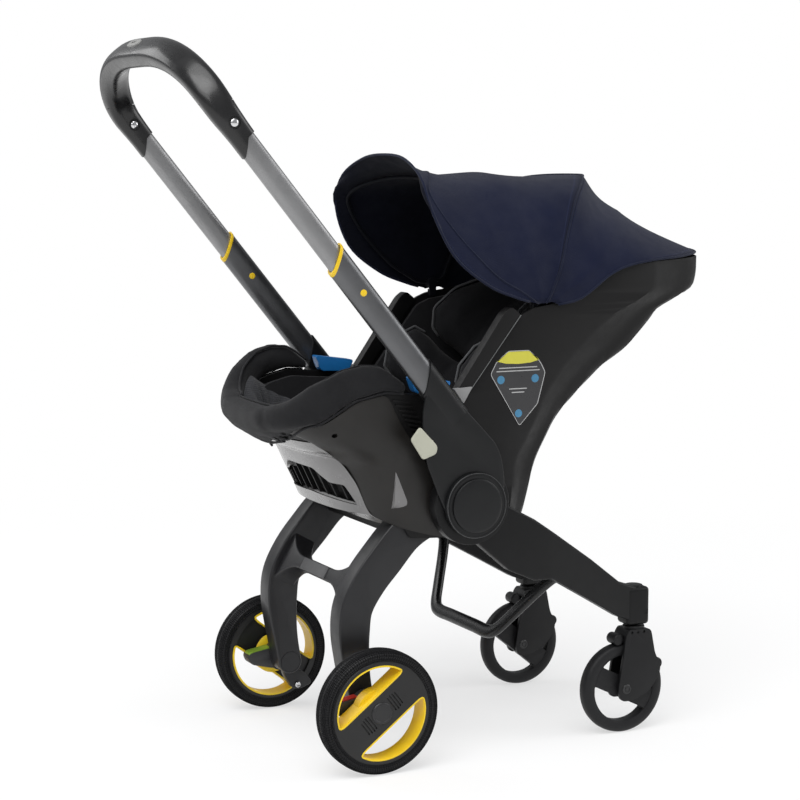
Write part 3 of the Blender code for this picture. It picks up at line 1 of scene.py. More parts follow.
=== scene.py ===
from math import asin, atan2, cos, degrees, pi, radians, sin, sqrt
import bpy
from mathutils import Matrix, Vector


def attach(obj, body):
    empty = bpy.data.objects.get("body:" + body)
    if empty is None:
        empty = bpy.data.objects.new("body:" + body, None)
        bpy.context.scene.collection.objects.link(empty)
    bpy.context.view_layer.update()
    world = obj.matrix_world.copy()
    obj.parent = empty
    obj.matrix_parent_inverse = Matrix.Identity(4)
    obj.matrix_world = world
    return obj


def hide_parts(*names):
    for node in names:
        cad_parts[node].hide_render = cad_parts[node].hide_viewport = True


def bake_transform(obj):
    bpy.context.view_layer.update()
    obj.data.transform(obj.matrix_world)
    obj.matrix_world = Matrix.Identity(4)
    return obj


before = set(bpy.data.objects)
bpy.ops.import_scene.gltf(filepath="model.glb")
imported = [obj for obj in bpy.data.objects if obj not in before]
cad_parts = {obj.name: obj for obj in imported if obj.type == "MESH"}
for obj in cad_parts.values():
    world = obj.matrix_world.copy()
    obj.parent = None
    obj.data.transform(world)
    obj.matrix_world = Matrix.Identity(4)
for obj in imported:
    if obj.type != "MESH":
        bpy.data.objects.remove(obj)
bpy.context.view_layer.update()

# Studio: a pale floor that fades into a white backdrop, a high soft light, three weaker lamps around the
# stroller, and the camera low behind the near big wheel.
AXLE_X = -0.15115
CAMERA_AT = Vector((-1.1956 + AXLE_X, -2.7861, 0.8561))
CAMERA_TURN, CAMERA_DIP = radians(25.3889), radians(6.8641)
FLOOR_SIZE = 14.0
FADE_FROM, FADE_TO, FADE_SHARE = 0.7, 2.2, 0.6
LAMPS = (
    ("lamp over the handle", (-1.5, -1.3, 2.3), (-0.1, 0, 0.5), 20, 1.6),
    ("lamp by the casters", (2.3, -1.0, 1.5), (0.1, 0, 0.4), 16, 1.4),
    ("lamp behind", (-1.6, 2.0, 1.9), (0, 0, 0.5), 16, 1.5),
)

camera_data = bpy.data.cameras.new("camera")
camera_data.sensor_width = 36.0
camera_data.lens = 96.7
camera = bpy.data.objects.new("camera", camera_data)
bpy.context.collection.objects.link(camera)
camera.location = CAMERA_AT
camera.rotation_euler = (pi / 2 - CAMERA_DIP, 0, -CAMERA_TURN)
bpy.context.scene.camera = camera


def maths(nodes, links, operation, *values):
    """A maths node, each of its inputs a number or the output of another node."""
    made = nodes.new("ShaderNodeMath")
    made.operation = operation
    for socket, value in zip(made.inputs, values):
        if isinstance(value, float):
            socket.default_value = value
        else:
            links.new(value, socket)
    return made.outputs[0]


bpy.ops.object.select_all(action="DESELECT")
bpy.ops.mesh.primitive_plane_add(size=FLOOR_SIZE, location=(0, 0, 0))
floor = bpy.context.object
floor.name = "floor"
paper = bpy.data.materials.new("floor paper")
paper.use_nodes = True
nodes, links = paper.node_tree.nodes, paper.node_tree.links
nodes["Principled BSDF"].inputs["Base Color"].default_value = (0.93, 0.93, 0.93, 1)
nodes["Principled BSDF"].inputs["Roughness"].default_value = 0.75
nodes["Principled BSDF"].inputs["Specular IOR Level"].default_value = 0.15
glow = nodes.new("ShaderNodeEmission")
glow.inputs["Color"].default_value = (1, 1, 1, 1)
glow.inputs["Strength"].default_value = 1.0
path = nodes.new("ShaderNodeLightPath")
either = maths(nodes, links, "MAXIMUM", path.outputs["Is Camera Ray"], path.outputs["Is Glossy Ray"])
away = nodes.new("ShaderNodeVectorMath")
away.operation = "LENGTH"
links.new(nodes.new("ShaderNodeTexCoord").outputs["Object"], away.inputs[0])
paler = nodes.new("ShaderNodeMapRange")
paler.interpolation_type = "SMOOTHSTEP"
paler.inputs["From Min"].default_value = FADE_FROM
paler.inputs["From Max"].default_value = FADE_TO
paler.inputs["To Min"].default_value = FADE_SHARE
links.new(away.outputs["Value"], paler.inputs["Value"])
blend = nodes.new("ShaderNodeMixShader")
links.new(maths(nodes, links, "MULTIPLY", either, paler.outputs[0]), blend.inputs[0])
links.new(nodes["Principled BSDF"].outputs[0], blend.inputs[1])
links.new(glow.outputs[0], blend.inputs[2])
links.new(blend.outputs[0], nodes["Material Output"].inputs[0])
floor.data.materials.append(paper)

world = bpy.data.worlds.new("studio air")
world.use_nodes = True
bpy.context.scene.world = world
nodes, links = world.node_tree.nodes, world.node_tree.links
nodes["Background"].inputs["Color"].default_value = (0.86, 0.87, 0.89, 1)
nodes["Background"].inputs["Strength"].default_value = 0.4
white = nodes.new("ShaderNodeBackground")
white.inputs["Color"].default_value = (1, 1, 1, 1)
white.inputs["Strength"].default_value = 1.0
choose = nodes.new("ShaderNodeMixShader")
links.new(nodes.new("ShaderNodeLightPath").outputs["Is Camera Ray"], choose.inputs[0])
links.new(nodes["Background"].outputs[0], choose.inputs[1])
links.new(white.outputs[0], choose.inputs[2])
links.new(choose.outputs[0], nodes["World Output"].inputs[0])

sun_data = bpy.data.lights.new("high soft light", "SUN")
sun_data.energy = 1.9
sun_data.angle = radians(55)
sun = bpy.data.objects.new("high soft light", sun_data)
bpy.context.collection.objects.link(sun)
sun.rotation_euler = Vector((0.3, 0.42, -1.0)).to_track_quat("-Z", "Y").to_euler()
for name, at, aim, power, size in LAMPS:
    data = bpy.data.lights.new(name, "AREA")
    data.energy = power
    data.size = size
    lamp = bpy.data.objects.new(name, data)
    bpy.context.collection.objects.link(lamp)
    lamp.location = at
    lamp.rotation_euler = (Vector(aim) - Vector(at)).to_track_quat("-Z", "Y").to_euler()

bpy.context.scene.view_settings.view_transform = "Standard"

# Big wheels: a black rubber tyre on a dark grey moulded disc, which has two long openings lined in yellow,
# a round cap over the axle, and four short grooves each side of it. The hub behind is yellow too.
SIDES = (("left", 1), ("right", -1))
WHEEL_R = 0.0863
WHEEL_Y = 0.1945
DISC_R = 0.0714
OPENING_R = 0.0665
BAND_HALF = 0.0225
BAND_TURN = radians(38)


def alone(obj):
    bpy.ops.object.select_all(action="DESELECT")
    obj.select_set(True)
    bpy.context.view_layer.objects.active = obj
    return obj


def modify(obj, kind, **settings):
    """Gives a piece one modifier with its settings, and applies it."""
    alone(obj)
    made = obj.modifiers.new("step", kind)
    for setting, value in settings.items():
        setattr(made, setting, value)
    bpy.ops.object.modifier_apply(modifier=made.name)
    return obj


def shader(name):
    material = bpy.data.materials.new(name)
    material.use_nodes = True
    return material, material.node_tree.nodes, material.node_tree.links


def noise(nodes, links, coords, scale, detail=2.0, rough=0.5):
    made = nodes.new("ShaderNodeTexNoise")
    made.inputs["Scale"].default_value = scale
    made.inputs["Detail"].default_value = detail
    made.inputs["Roughness"].default_value = rough
    links.new(coords, made.inputs["Vector"])
    return made.outputs["Fac"]


def ramp(nodes, links, value, low, high, start=0.35, end=0.65):
    made = nodes.new("ShaderNodeMapRange")
    made.inputs["From Min"].default_value = start
    made.inputs["From Max"].default_value = end
    made.inputs["To Min"].default_value = low
    made.inputs["To Max"].default_value = high
    links.new(value, made.inputs["Value"])
    return made.outputs[0]


def tint(nodes, links, value, first, second):
    made = nodes.new("ShaderNodeMix")
    made.data_type = "RGBA"
    made.inputs[6].default_value = (*first, 1)
    made.inputs[7].default_value = (*second, 1)
    links.new(value, made.inputs[0])
    return made.outputs[2]


def moulded(name, colour, rough, grain=0.1, grain_scale=1400, shade=0.1, coat=0.0, specular=0.5):
    """Moulded plastic: a fine sparked grain, faint clouds in its colour and gloss, dulled by handling."""
    material, nodes, links = shader(name)
    body = nodes["Principled BSDF"]
    coords = nodes.new("ShaderNodeTexCoord").outputs["Object"]
    cloud = ramp(nodes, links, noise(nodes, links, coords, 14, 3), 0, 1)
    darker, paler = [c * (1 - shade) for c in colour], [min(1, c * (1 + shade)) for c in colour]
    links.new(tint(nodes, links, cloud, darker, paler), body.inputs["Base Color"])
    links.new(ramp(nodes, links, noise(nodes, links, coords, 60, 5, 0.6), rough - 0.05, rough + 0.05),
              body.inputs["Roughness"])
    bump = nodes.new("ShaderNodeBump")
    bump.inputs["Strength"].default_value = grain
    bump.inputs["Distance"].default_value = 0.0004
    links.new(noise(nodes, links, coords, grain_scale, 2), bump.inputs["Height"])
    links.new(bump.outputs[0], body.inputs["Normal"])
    body.inputs["Coat Weight"].default_value = coat
    body.inputs["Coat Roughness"].default_value = 0.12
    body.inputs["Specular IOR Level"].default_value = specular
    return material


def settle(obj, material, body, slot, *nodes):
    """Gives a finished piece its material, its body and the solids that it stands for. Its slot is not used.
    """
    alone(obj)
    bpy.ops.object.transform_apply(location=True, rotation=True, scale=True)
    obj.data.materials.clear()
    obj.data.materials.append(material)
    bpy.ops.object.shade_smooth_by_angle(angle=radians(32))
    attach(obj, body)
    if nodes:
        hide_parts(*nodes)
    return obj


def rounded(points, radius, steps=5):
    """The outline with each of its corners rounded."""
    found = []
    count = len(points)
    for i in range(count):
        here = Vector(points[i])
        before, after = Vector(points[i - 1]) - here, Vector(points[(i + 1) % count]) - here
        back = min(radius, before.length * 0.48)
        ahead = min(radius, after.length * 0.48)
        first, last = here + before.normalized() * back, here + after.normalized() * ahead
        for k in range(steps + 1):
            t = k / steps
            found.append(tuple(first * (1 - t) ** 2 + here * 2 * t * (1 - t) + last * t * t))
    return found


def grown(points, by):
    """The outline moved outwards by a distance, or inwards where that is below 0."""
    count = len(points)
    area = sum(points[i - 1][0] * points[i][1] - points[i][0] * points[i - 1][1] for i in range(count))
    turn = 1 if area > 0 else -1
    found = []
    for i in range(count):
        here = Vector(points[i])
        ahead, behind = Vector(points[(i + 1) % count]) - here, here - Vector(points[i - 1])
        run = (ahead.normalized() + behind.normalized()).normalized()
        found.append((here.x + run.y * by * turn, here.y - run.x * by * turn))
    return found


def ring(centre, radius, count=72, start=0.0, end=2 * pi):
    closed = abs(end - start) > 2 * pi - 1e-6
    steps = count if closed else count - 1
    return [(centre[0] + radius * cos(start + (end - start) * i / steps),
             centre[1] + radius * sin(start + (end - start) * i / steps)) for i in range(count)]


def soften(obj, width, steps=3, angle=34):
    return modify(obj, "BEVEL", width=width, segments=steps, limit_method="ANGLE", angle_limit=radians(angle),
                  use_clamp_overlap=True)


def slab(name, points, y0, y1, edge=0.0, steps=3):
    """A flat moulding: a ring of points laid on its outline, filled, pushed from y0 to y1 and softened."""
    bpy.ops.object.select_all(action="DESELECT")
    bpy.ops.mesh.primitive_circle_add(vertices=len(points), fill_type="NGON")
    obj = bpy.context.object
    obj.name = name
    for vertex, (x, z) in zip(obj.data.vertices, points):
        vertex.co = (x, y0, z)
    bpy.ops.object.mode_set(mode="EDIT")
    bpy.ops.mesh.select_all(action="SELECT")
    bpy.ops.mesh.extrude_region_move(TRANSFORM_OT_translate={"value": (0, y1 - y0, 0)})
    bpy.ops.mesh.select_all(action="SELECT")
    bpy.ops.mesh.normals_make_consistent(inside=False)
    bpy.ops.object.mode_set(mode="OBJECT")
    return soften(obj, edge, steps) if edge else obj


def carve(obj, *tools, operation="DIFFERENCE"):
    """Cuts each tool out of the piece, or joins it on, and throws the tool away."""
    for tool in tools:
        modify(obj, "BOOLEAN", operation=operation, solver="MANIFOLD", object=tool)
        bpy.data.objects.remove(tool, do_unlink=True)
    return obj


def turned(name, section, x, z, steps=96):
    """A piece turned about a crosswise axis: a closed section of (radius, y) points, spun right round."""
    bpy.ops.object.select_all(action="DESELECT")
    bpy.ops.mesh.primitive_circle_add(vertices=len(section), fill_type="NOTHING")
    obj = bpy.context.object
    obj.name = name
    for vertex, (radius, y) in zip(obj.data.vertices, section):
        vertex.co = (x + radius, y, z)
    bpy.ops.object.mode_set(mode="EDIT")
    bpy.ops.mesh.select_all(action="SELECT")
    bpy.ops.mesh.spin(steps=steps, angle=2 * pi, center=(x, 0, z), axis=(0, 1, 0))
    bpy.ops.mesh.select_all(action="SELECT")
    bpy.ops.mesh.remove_doubles(threshold=1e-5)
    bpy.ops.mesh.delete_loose()
    bpy.ops.mesh.select_all(action="SELECT")
    bpy.ops.mesh.normals_make_consistent(inside=False)
    bpy.ops.object.mode_set(mode="OBJECT")
    return obj


def facing(y, way, *points):
    """A section for turned: each point has its radius, and its distance from y outwards."""
    return [(radius, y + way * out) for radius, out in points]


def swung(points, turn, x, z):
    """Points turned about the origin and then moved to their place."""
    return [(x + a * cos(turn) - b * sin(turn), z + a * sin(turn) + b * cos(turn)) for a, b in points]


def joined(name, *pieces):
    bpy.ops.object.select_all(action="DESELECT")
    for piece in pieces:
        piece.select_set(True)
    bpy.context.view_layer.objects.active = pieces[0]
    bpy.ops.object.join()
    pieces[0].name = name
    return pieces[0]


def openings(x, z, radius, half, turn, corner):
    """The outlines of a wheel's two openings, each an arc closed by a straight side along the band."""
    reach = asin(half / radius)
    found = []
    for flip in (0, pi):
        arc = ring((0, 0), radius, 30, reach, pi - reach)
        chord = [((arc[-1][0] * (1 - k / 4) + arc[0][0] * k / 4), half) for k in (1, 2, 3)]
        outline = rounded(arc[:1] + arc[3:-3] + arc[-1:] + chord, corner, 4)
        found.append(swung(outline, turn + flip, x, z))
    return found


tyre_rubber = moulded("tyre rubber", (0.008, 0.008, 0.009), 0.52, 0.35, 500, 0.18, specular=0.35)
wheel_grey = moulded("wheel disc plastic", (0.013, 0.013, 0.013), 0.42, 0.12, specular=0.4)
wheel_yellow = moulded("yellow plastic", (0.83, 0.58, 0.015), 0.38, 0.06, shade=0.06)
cap_grey = moulded("axle cap plastic", (0.018, 0.018, 0.019), 0.34, 0.05, specular=0.4)

for side_name, side in SIDES:
    body = "wheel_" + side_name
    mid = side * WHEEL_Y
    turn = -side * BAND_TURN
    flank = [(0.0715, -0.0146), (0.0745, -0.0158), (0.079, -0.0172), (0.0815, -0.0171), (0.0838, -0.0155),
             (0.0853, -0.0128), (0.086, -0.009), (0.0863, -0.0045)]
    section = flank + [(r, -y) for r, y in reversed(flank)]
    tyre = turned("tyre_" + side_name + "_rubber", [(r, mid + y) for r, y in section], AXLE_X, WHEEL_R, 144)
    for polygon in tyre.data.polygons:
        at = polygon.center - Vector((AXLE_X, mid, WHEEL_R))
        far = sqrt(at.x ** 2 + at.z ** 2)
        step = round(degrees(atan2(at.z, at.x)) / 2.5)
        polygon.select = 0.084 < far < 0.086 and 0.01 < abs(at.y) < 0.015 and step % 5 == 0
    bpy.ops.object.mode_set(mode="EDIT")
    bpy.ops.mesh.select_mode(type="FACE")
    bpy.ops.mesh.inset(thickness=0.0004, use_individual=True)
    bpy.ops.transform.shrink_fatten(value=-0.0011)
    bpy.ops.mesh.select_mode(type="VERT")
    bpy.ops.object.mode_set(mode="OBJECT")
    settle(tyre, tyre_rubber, body, "tyre_rubber", "tyre_" + side_name)

    inner, outer = mid - side * 0.014, mid + side * 0.0158
    low, high = min(inner, outer), max(inner, outer)
    disc = slab("wheel_disc_" + side_name, ring((AXLE_X, WHEEL_R), DISC_R, 120), low, high, 0.0012, 3)
    dish = facing(mid, side, (0.0, -0.03), (0.058, -0.03), (0.063, -0.01), (0.025, -0.0075), (0.0, -0.0075))
    dish = turned("dish", dish, AXLE_X, WHEEL_R, 72)
    holes = [slab("hole", outline, mid - 0.04, mid + 0.04)
             for outline in openings(AXLE_X, WHEEL_R, OPENING_R, BAND_HALF, turn, 0.015)]
    grooves = []
    for way in (1, -1):
        for k in range(4):
            u = way * (0.0184 + k * 0.0043)
            long = 0.0125 - abs(k - 1.0) * 0.0011
            corners = [(u - 0.0011, -long), (u + 0.0011, -long), (u + 0.0011, long), (u - 0.0011, long)]
            outline = swung(rounded(corners, 0.001, 3), turn, AXLE_X, WHEEL_R)
            grooves.append(slab("groove", outline, outer - side * 0.0022, outer + side * 0.004))
    carve(disc, dish, *holes, *grooves)
    settle(disc, wheel_grey, body, "gloss_grey", "wheel_face_" + side_name)
    cap = facing(outer, side, (0.0, -0.001), (0.0152, -0.001), (0.0152, 0.0008), (0.0143, 0.0016),
                 (0.0118, 0.0019), (0.0112, 0.0015), (0.0, 0.0016))
    settle(turned("axle_cover_" + side_name, cap, AXLE_X, WHEEL_R, 64), cap_grey, body, "gloss_grey")

    walls = []
    for outline in openings(AXLE_X, WHEEL_R, OPENING_R - 0.0002, BAND_HALF + 0.0002, turn, 0.0148):
        wall = slab("wall", outline, mid - side * 0.0152, outer + side * 0.0004, 0.0005, 2)
        core = slab("core", grown(outline, -0.0026), mid - 0.04, mid + 0.04)
        taper = slab("taper", grown(outline, -0.0019), outer - side * 0.001, outer + side * 0.004)
        walls.append(carve(wall, core, taper))
    hub = facing(mid, side, (0.0118, -0.016), (0.026, -0.016), (0.031, -0.013), (0.031, 0.004),
                 (0.0118, 0.004))
    hub = turned("hub", hub, AXLE_X, WHEEL_R, 72)
    band = ((-0.04, -0.0221), (0.04, -0.0221), (0.04, 0.0221), (-0.04, 0.0221))
    carve(hub, slab("band", swung(band, turn, AXLE_X, WHEEL_R), mid - side * 0.0135, mid + side * 0.02))
    settle(joined("wheel_lining_" + side_name, *walls, hub), wheel_yellow, body, "yellow",
           "wheel_core_" + side_name)

# Steel pins: the axles that the wheels turn on, and the pins that the handle and the legs turn on. They are
# turned from bright bar and pressed in, and little more than their ends is seen.
steel = moulded("bright steel", (0.62, 0.62, 0.63), 0.25, 0.03, 900, 0.04)
steel.node_tree.nodes["Principled BSDF"].inputs["Metallic"].default_value = 1.0
for node in ("wheel_axle_", "hub_pin_", "rear_leg_pin_"):
    for side_name, _ in SIDES:
        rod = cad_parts[node + side_name]
        rod.data.materials.clear()
        rod.data.materials.append(steel)

# Casters: black wheels of hard rubber with two openings, each in a moulded fork with a bolt through its side
# plates, a round catch at either end and a neck that swivels under the leg.
CASTER_X = AXLE_X + 0.409
CASTER_Y = 0.156
CASTER_R = 0.066
SWIVEL_X = CASTER_X + 0.0205
HEAD_ROOM = 0.1345


def peg(radius, depth, at, vertices=48):
    bpy.ops.object.select_all(action="DESELECT")
    bpy.ops.mesh.primitive_cylinder_add(vertices=vertices, radius=radius, depth=depth, location=at)
    return bpy.context.object


caster_black = moulded("caster plastic", (0.006, 0.006, 0.0068), 0.44, 0.12, specular=0.3)
caster_tread = moulded("caster tread", (0.009, 0.009, 0.01), 0.52, 0.25, 700, 0.15, specular=0.3)
bolt_black = moulded("blackened bolt", (0.012, 0.012, 0.013), 0.3, 0.05)
for side_name, side in SIDES:
    body = "caster_wheel_" + side_name
    mid = side * CASTER_Y
    turn = radians(-39) if side > 0 else radians(-26)
    flank = [(0.0492, -0.009), (0.052, -0.0104), (0.056, -0.011), (0.06, -0.0107), (0.0632, -0.0092),
             (0.0652, -0.0064), (0.066, -0.0025)]
    section = flank + [(r, -y) for r, y in reversed(flank)]
    tread = turned("tread", [(r, mid + y) for r, y in section], CASTER_X, CASTER_R, 96)
    disc = slab("disc", ring((CASTER_X, CASTER_R), 0.05, 96), mid - 0.0086, mid + 0.0086)
    holes = [slab("hole", outline, mid - 0.03, mid + 0.03)
             for outline in openings(CASTER_X, CASTER_R, 0.049, 0.015, turn, 0.003)]
    carve(disc, *holes)
    soften(disc, 0.0008, 2)
    settle(joined("caster_wheel_" + side_name + "_rolling", tread, disc), caster_tread, body, "satin_black",
           body)

    body = "caster_fork_" + side_name
    plate = rounded([(CASTER_X + x, z) for x, z in (
        (0.008, 0.153), (0.004, 0.153), (-0.002, 0.144), (-0.005, 0.118), (-0.014, 0.064),
        (-0.009, 0.048), (0.011, 0.048), (0.039, 0.06), (0.055, 0.082), (0.058, 0.098),
        (0.048, 0.113), (0.04, 0.153))], 0.008, 6)
    fork = slab("caster_fork_" + side_name + "_moulding", plate, mid - 0.0172, mid + 0.0172)
    room = [(CASTER_X - 0.09, -0.01), (CASTER_X + 0.12, -0.01), (CASTER_X + 0.12, HEAD_ROOM),
            (CASTER_X - 0.09, HEAD_ROOM)]
    slot_room = slab("room", rounded(room, 0.002, 2), mid - 0.0122, mid + 0.0122)
    vents = [slab("vent", ring((SWIVEL_X - 0.0125 + 0.01 * k, 0.149), 0.0022, 16), mid + y0, mid + y1)
             for y0, y1 in ((-0.03, -0.015), (0.015, 0.03)) for k in range(3)]
    carve(fork, slot_room, *vents)
    soften(fork, 0.0022, 4, 40)
    neck = soften(peg(0.016, 0.01, (SWIVEL_X, mid, 0.152)), 0.0015, 3)
    stem = soften(peg(0.006, 0.05, (SWIVEL_X, mid, 0.178), 32), 0.0008, 2)
    catches = [slab("catch", ring((CASTER_X + x, z), 0.0085, 40), mid - 0.012, mid + 0.012, 0.003, 4)
               for x, z in ((0.0555, 0.0975), (-0.0105, 0.1385))]
    settle(joined("caster_fork_" + side_name + "_moulding", fork, neck, stem, *catches), caster_black, body,
           "satin_black", body)
    heads = []
    for way in (1, -1):
        y = mid + way * 0.017
        washer = facing(y, way, (0.0, -0.002), (0.007, -0.002), (0.007, 0.0006), (0.0062, 0.0012),
                        (0.0046, 0.0012), (0.0044, 0.0004), (0.0, 0.0004))
        washer = turned("washer", washer, CASTER_X, CASTER_R, 40)
        star = [(CASTER_X + r * cos(pi * i / 6), CASTER_R + r * sin(pi * i / 6))
                for i, r in enumerate([0.0032, 0.002] * 6)]
        heads += [washer, slab("star", star, y, y + way * 0.0014, 0.0002, 1)]
    pin = slab("pin", ring((CASTER_X, CASTER_R), 0.0034, 24), mid - 0.015, mid + 0.015)
    settle(joined("caster_bolt_" + side_name, *heads, pin), bolt_black, body, "satin_black")

# Rear legs: one hollow H-shaped moulding that turns on two pins inside the shell. Its cross bar flares into
# both legs in large arches and holds a paler plate behind, and each foot carries a bracket for the brake rod.
HUB = Vector((AXLE_X + 0.1395, 0.3626))
LEG_Y = 0.13
LEG_HALF = 0.0175
LEG_LINE = (
    (-0.0145, -0.0276, 0.042), (-0.044, -0.031, 0.049), (-0.0735, -0.0475, 0.052), (-0.102, -0.0785, 0.053),
    (-0.1275, -0.109, 0.051), (-0.1465, -0.143, 0.048), (-0.151, -0.178, 0.0465), (-0.149, -0.215, 0.041),
    (-0.145, -0.245, 0.037), (-0.1395, -0.2763, 0.036),
)


def at_hub(points):
    return [(HUB.x + x, HUB.y + z) for x, z in points]


def between(a, b, c, d, t):
    """The point a share t of the way from b to c, on a smooth curve through all four."""
    return 0.5 * (2 * b + (c - a) * t + (2 * a - 5 * b + 4 * c - d) * t * t
                  + (3 * b - a - 3 * c + d) * t ** 3)


def curve(points, count, fine=16):
    """Evenly spaced points on a smooth curve through the given ones."""
    known = [Vector(p) for p in points]
    known = [2 * known[0] - known[1]] + known + [2 * known[-1] - known[-2]]
    dense = []
    for four in zip(known, known[1:], known[2:], known[3:]):
        dense += [between(*four, k / fine) for k in range(fine)]
    dense.append(known[-2])
    reach = [0.0]
    for first, last in zip(dense, dense[1:]):
        reach.append(reach[-1] + (last - first).length)
    found, step = [], 0
    for i in range(count):
        goal = reach[-1] * i / (count - 1)
        while step < len(dense) - 2 and reach[step + 1] < goal:
            step += 1
        span = reach[step + 1] - reach[step]
        found.append(dense[step].lerp(dense[step + 1], min(1.0, (goal - reach[step]) / span if span else 0)))
    return found


def skin(name, rows, tube=False, filled=False):
    """A grid laid row by row on the given points. Rows that close are sewn into a tube and may be capped."""
    if tube:
        rows = [list(row) + [row[0]] for row in rows]
    down, across = len(rows), len(rows[0])
    bpy.ops.object.select_all(action="DESELECT")
    bpy.ops.mesh.primitive_grid_add(x_subdivisions=across - 1, y_subdivisions=down - 1)
    obj = bpy.context.object
    obj.name = name
    for vertex, point in zip(obj.data.vertices, (p for row in rows for p in row)):
        vertex.co = point
    if tube:
        bpy.ops.object.mode_set(mode="EDIT")
        bpy.ops.mesh.select_all(action="SELECT")
        bpy.ops.mesh.remove_doubles(threshold=2e-6)
        if filled:
            bpy.ops.mesh.select_all(action="DESELECT")
            bpy.ops.mesh.select_non_manifold()
            bpy.ops.mesh.fill_holes(sides=0)
        bpy.ops.mesh.select_all(action="SELECT")
        bpy.ops.mesh.normals_make_consistent(inside=False)
        bpy.ops.object.mode_set(mode="OBJECT")
    return obj


def solid(name, rows):
    return skin(name, rows, tube=True, filled=True)


def heading(path, i):
    """The direction of a path at one of its points."""
    return (path[min(i + 1, len(path) - 1)] - path[max(i - 1, 0)]).normalized()


def oval(width, height, count, power=2.6):
    found = []
    for i in range(count):
        a = 2 * pi * (i + 0.5) / count
        u = abs(cos(a)) ** (2 / power) * (1 if cos(a) > 0 else -1)
        v = abs(sin(a)) ** (2 / power) * (1 if sin(a) > 0 else -1)
        found.append((u * width / 2, v * height / 2))
    return found


def swept(path, section, normal):
    """Carries a section of (u, v) pairs along a path: u lies along the normal, and v across the path."""
    path = [Vector(p) for p in path]
    normal = Vector(normal).normalized()
    rows = []
    for i, here in enumerate(path):
        across = heading(path, i).cross(normal)
        rows.append([here + normal * u + across * v for u, v in section])
    return rows


leg_black = moulded("leg plastic", (0.015, 0.015, 0.0165), 0.38, 0.16, specular=0.4)
insert_grey = moulded("bar plate plastic", (0.075, 0.075, 0.077), 0.45, 0.12)
middle = [Vector((*p, 0)) for p in at_hub([(x, z) for x, z, _ in LEG_LINE])]
middle[-1] = Vector((AXLE_X, WHEEL_R, 0))
widths = [w for _, _, w in LEG_LINE]
stations = curve([(p.x, p.y, w) for p, w in zip(middle, widths)], 56)
back_edge, front_edge = [], []
for i, here in enumerate(stations):
    run = (stations[min(i + 1, 55)] - stations[max(i - 1, 0)]).xy.normalized()
    half = here.z / 2
    back_edge.append((here.x + run.y * half, here.y - run.x * half))
    front_edge.append((here.x - run.y * half, here.y + run.x * half))
start = atan2(front_edge[0][1] - middle[0].y, front_edge[0][0] - middle[0].x)
over = ring((middle[0].x, middle[0].y), widths[0] / 2, 18, start, start + pi)[1:-1]
start = atan2(back_edge[-1][1] - WHEEL_R, back_edge[-1][0] - AXLE_X)
under = ring((AXLE_X, WHEEL_R), widths[-1] / 2, 18, start, start + pi)[1:-1]
leg_shape = back_edge + under + front_edge[::-1] + over
legs = [slab("leg", leg_shape, side * (LEG_Y - LEG_HALF), side * (LEG_Y + LEG_HALF), 0.003, 4)
        for side in (1, -1)]

first, second = middle[4].xy, middle[5].xy
along = (second - first).normalized()
behind = Vector((along.y, -along.x))
bar_at = first.lerp(second, 0.35) + behind * 0.004
inner = LEG_Y - LEG_HALF + 0.004
rows = []
for i in range(-24, 25):
    y = inner * i / 24
    near = max(0.0, (abs(y) - 0.05) / (inner - 0.05))
    rise = 0.01 + near ** 2.3 * 0.03
    back, ahead = 0.012, 0.012 + near ** 1.6 * 0.013
    corners = rounded([(-rise, -ahead), (rise, -ahead), (rise, back), (-rise, back)], 0.0035, 4)
    rows.append([(bar_at.x + along.x * a + behind.x * b, y, bar_at.y + along.y * a + behind.y * b)
                 for a, b in corners])
bar = solid("bar", rows)
carve(legs[0], legs[1], bar, operation="UNION")
for side in (1, -1):
    y = side * (LEG_Y - LEG_HALF)
    groove = facing(y, side, (0.015, -0.002), (0.0158, -0.002), (0.0158, 0.0012), (0.015, 0.0012))
    carve(legs[0], turned("groove", groove, AXLE_X, WHEEL_R, 48))
settle(legs[0], leg_black, "rear_legs", "satin_black", "rear_leg_frame")
legs[0].name = "rear_leg_moulding"

rows = []
for y, a in ((-0.042, 0.0), (-0.042, 1.0), (-0.0405, 1.06), (0.0405, 1.06), (0.042, 1.0), (0.042, 0.0)):
    lift = 0.0118 + (0.0012 if a > 1 else 0.0007 if a == 1 else -0.002)
    rows.append([(bar_at.x + along.x * u + behind.x * lift, y, bar_at.y + along.y * u + behind.y * lift)
                 for u in (-0.0086, -0.008, 0.008, 0.0086)])
plate = modify(skin("bar_plate", rows), "SOLIDIFY", thickness=0.0012)
settle(plate, insert_grey, "rear_legs", "satin_black")

BRACKET = ((-0.003, 0.07), (0.0, 0.0585), (0.012, 0.0395), (0.024, 0.038), (0.043, 0.045), (0.035, 0.06),
           (0.016, 0.072))
SCREW = ((0.0, 0.132), (0.0044, 0.132), (0.0044, 0.1305), (0.0034, 0.1296), (0.0014, 0.13), (0.0, 0.131))
shape = rounded([(AXLE_X + x, z) for x, z in BRACKET], 0.005, 4)
brackets = [slab("bracket", shape, side * (LEG_Y + 0.003), side * (LEG_Y + LEG_HALF + 0.001), 0.0015, 3)
            for side in (1, -1)]
settle(joined("rod_brackets", *brackets), leg_black, "rear_legs", "satin_black")
screws = [turned("screw", facing(0.0, side, *SCREW), AXLE_X + 0.019, 0.0455, 32) for side in (1, -1)]
settle(joined("bracket_screws", *screws), steel, "rear_legs", "steel")

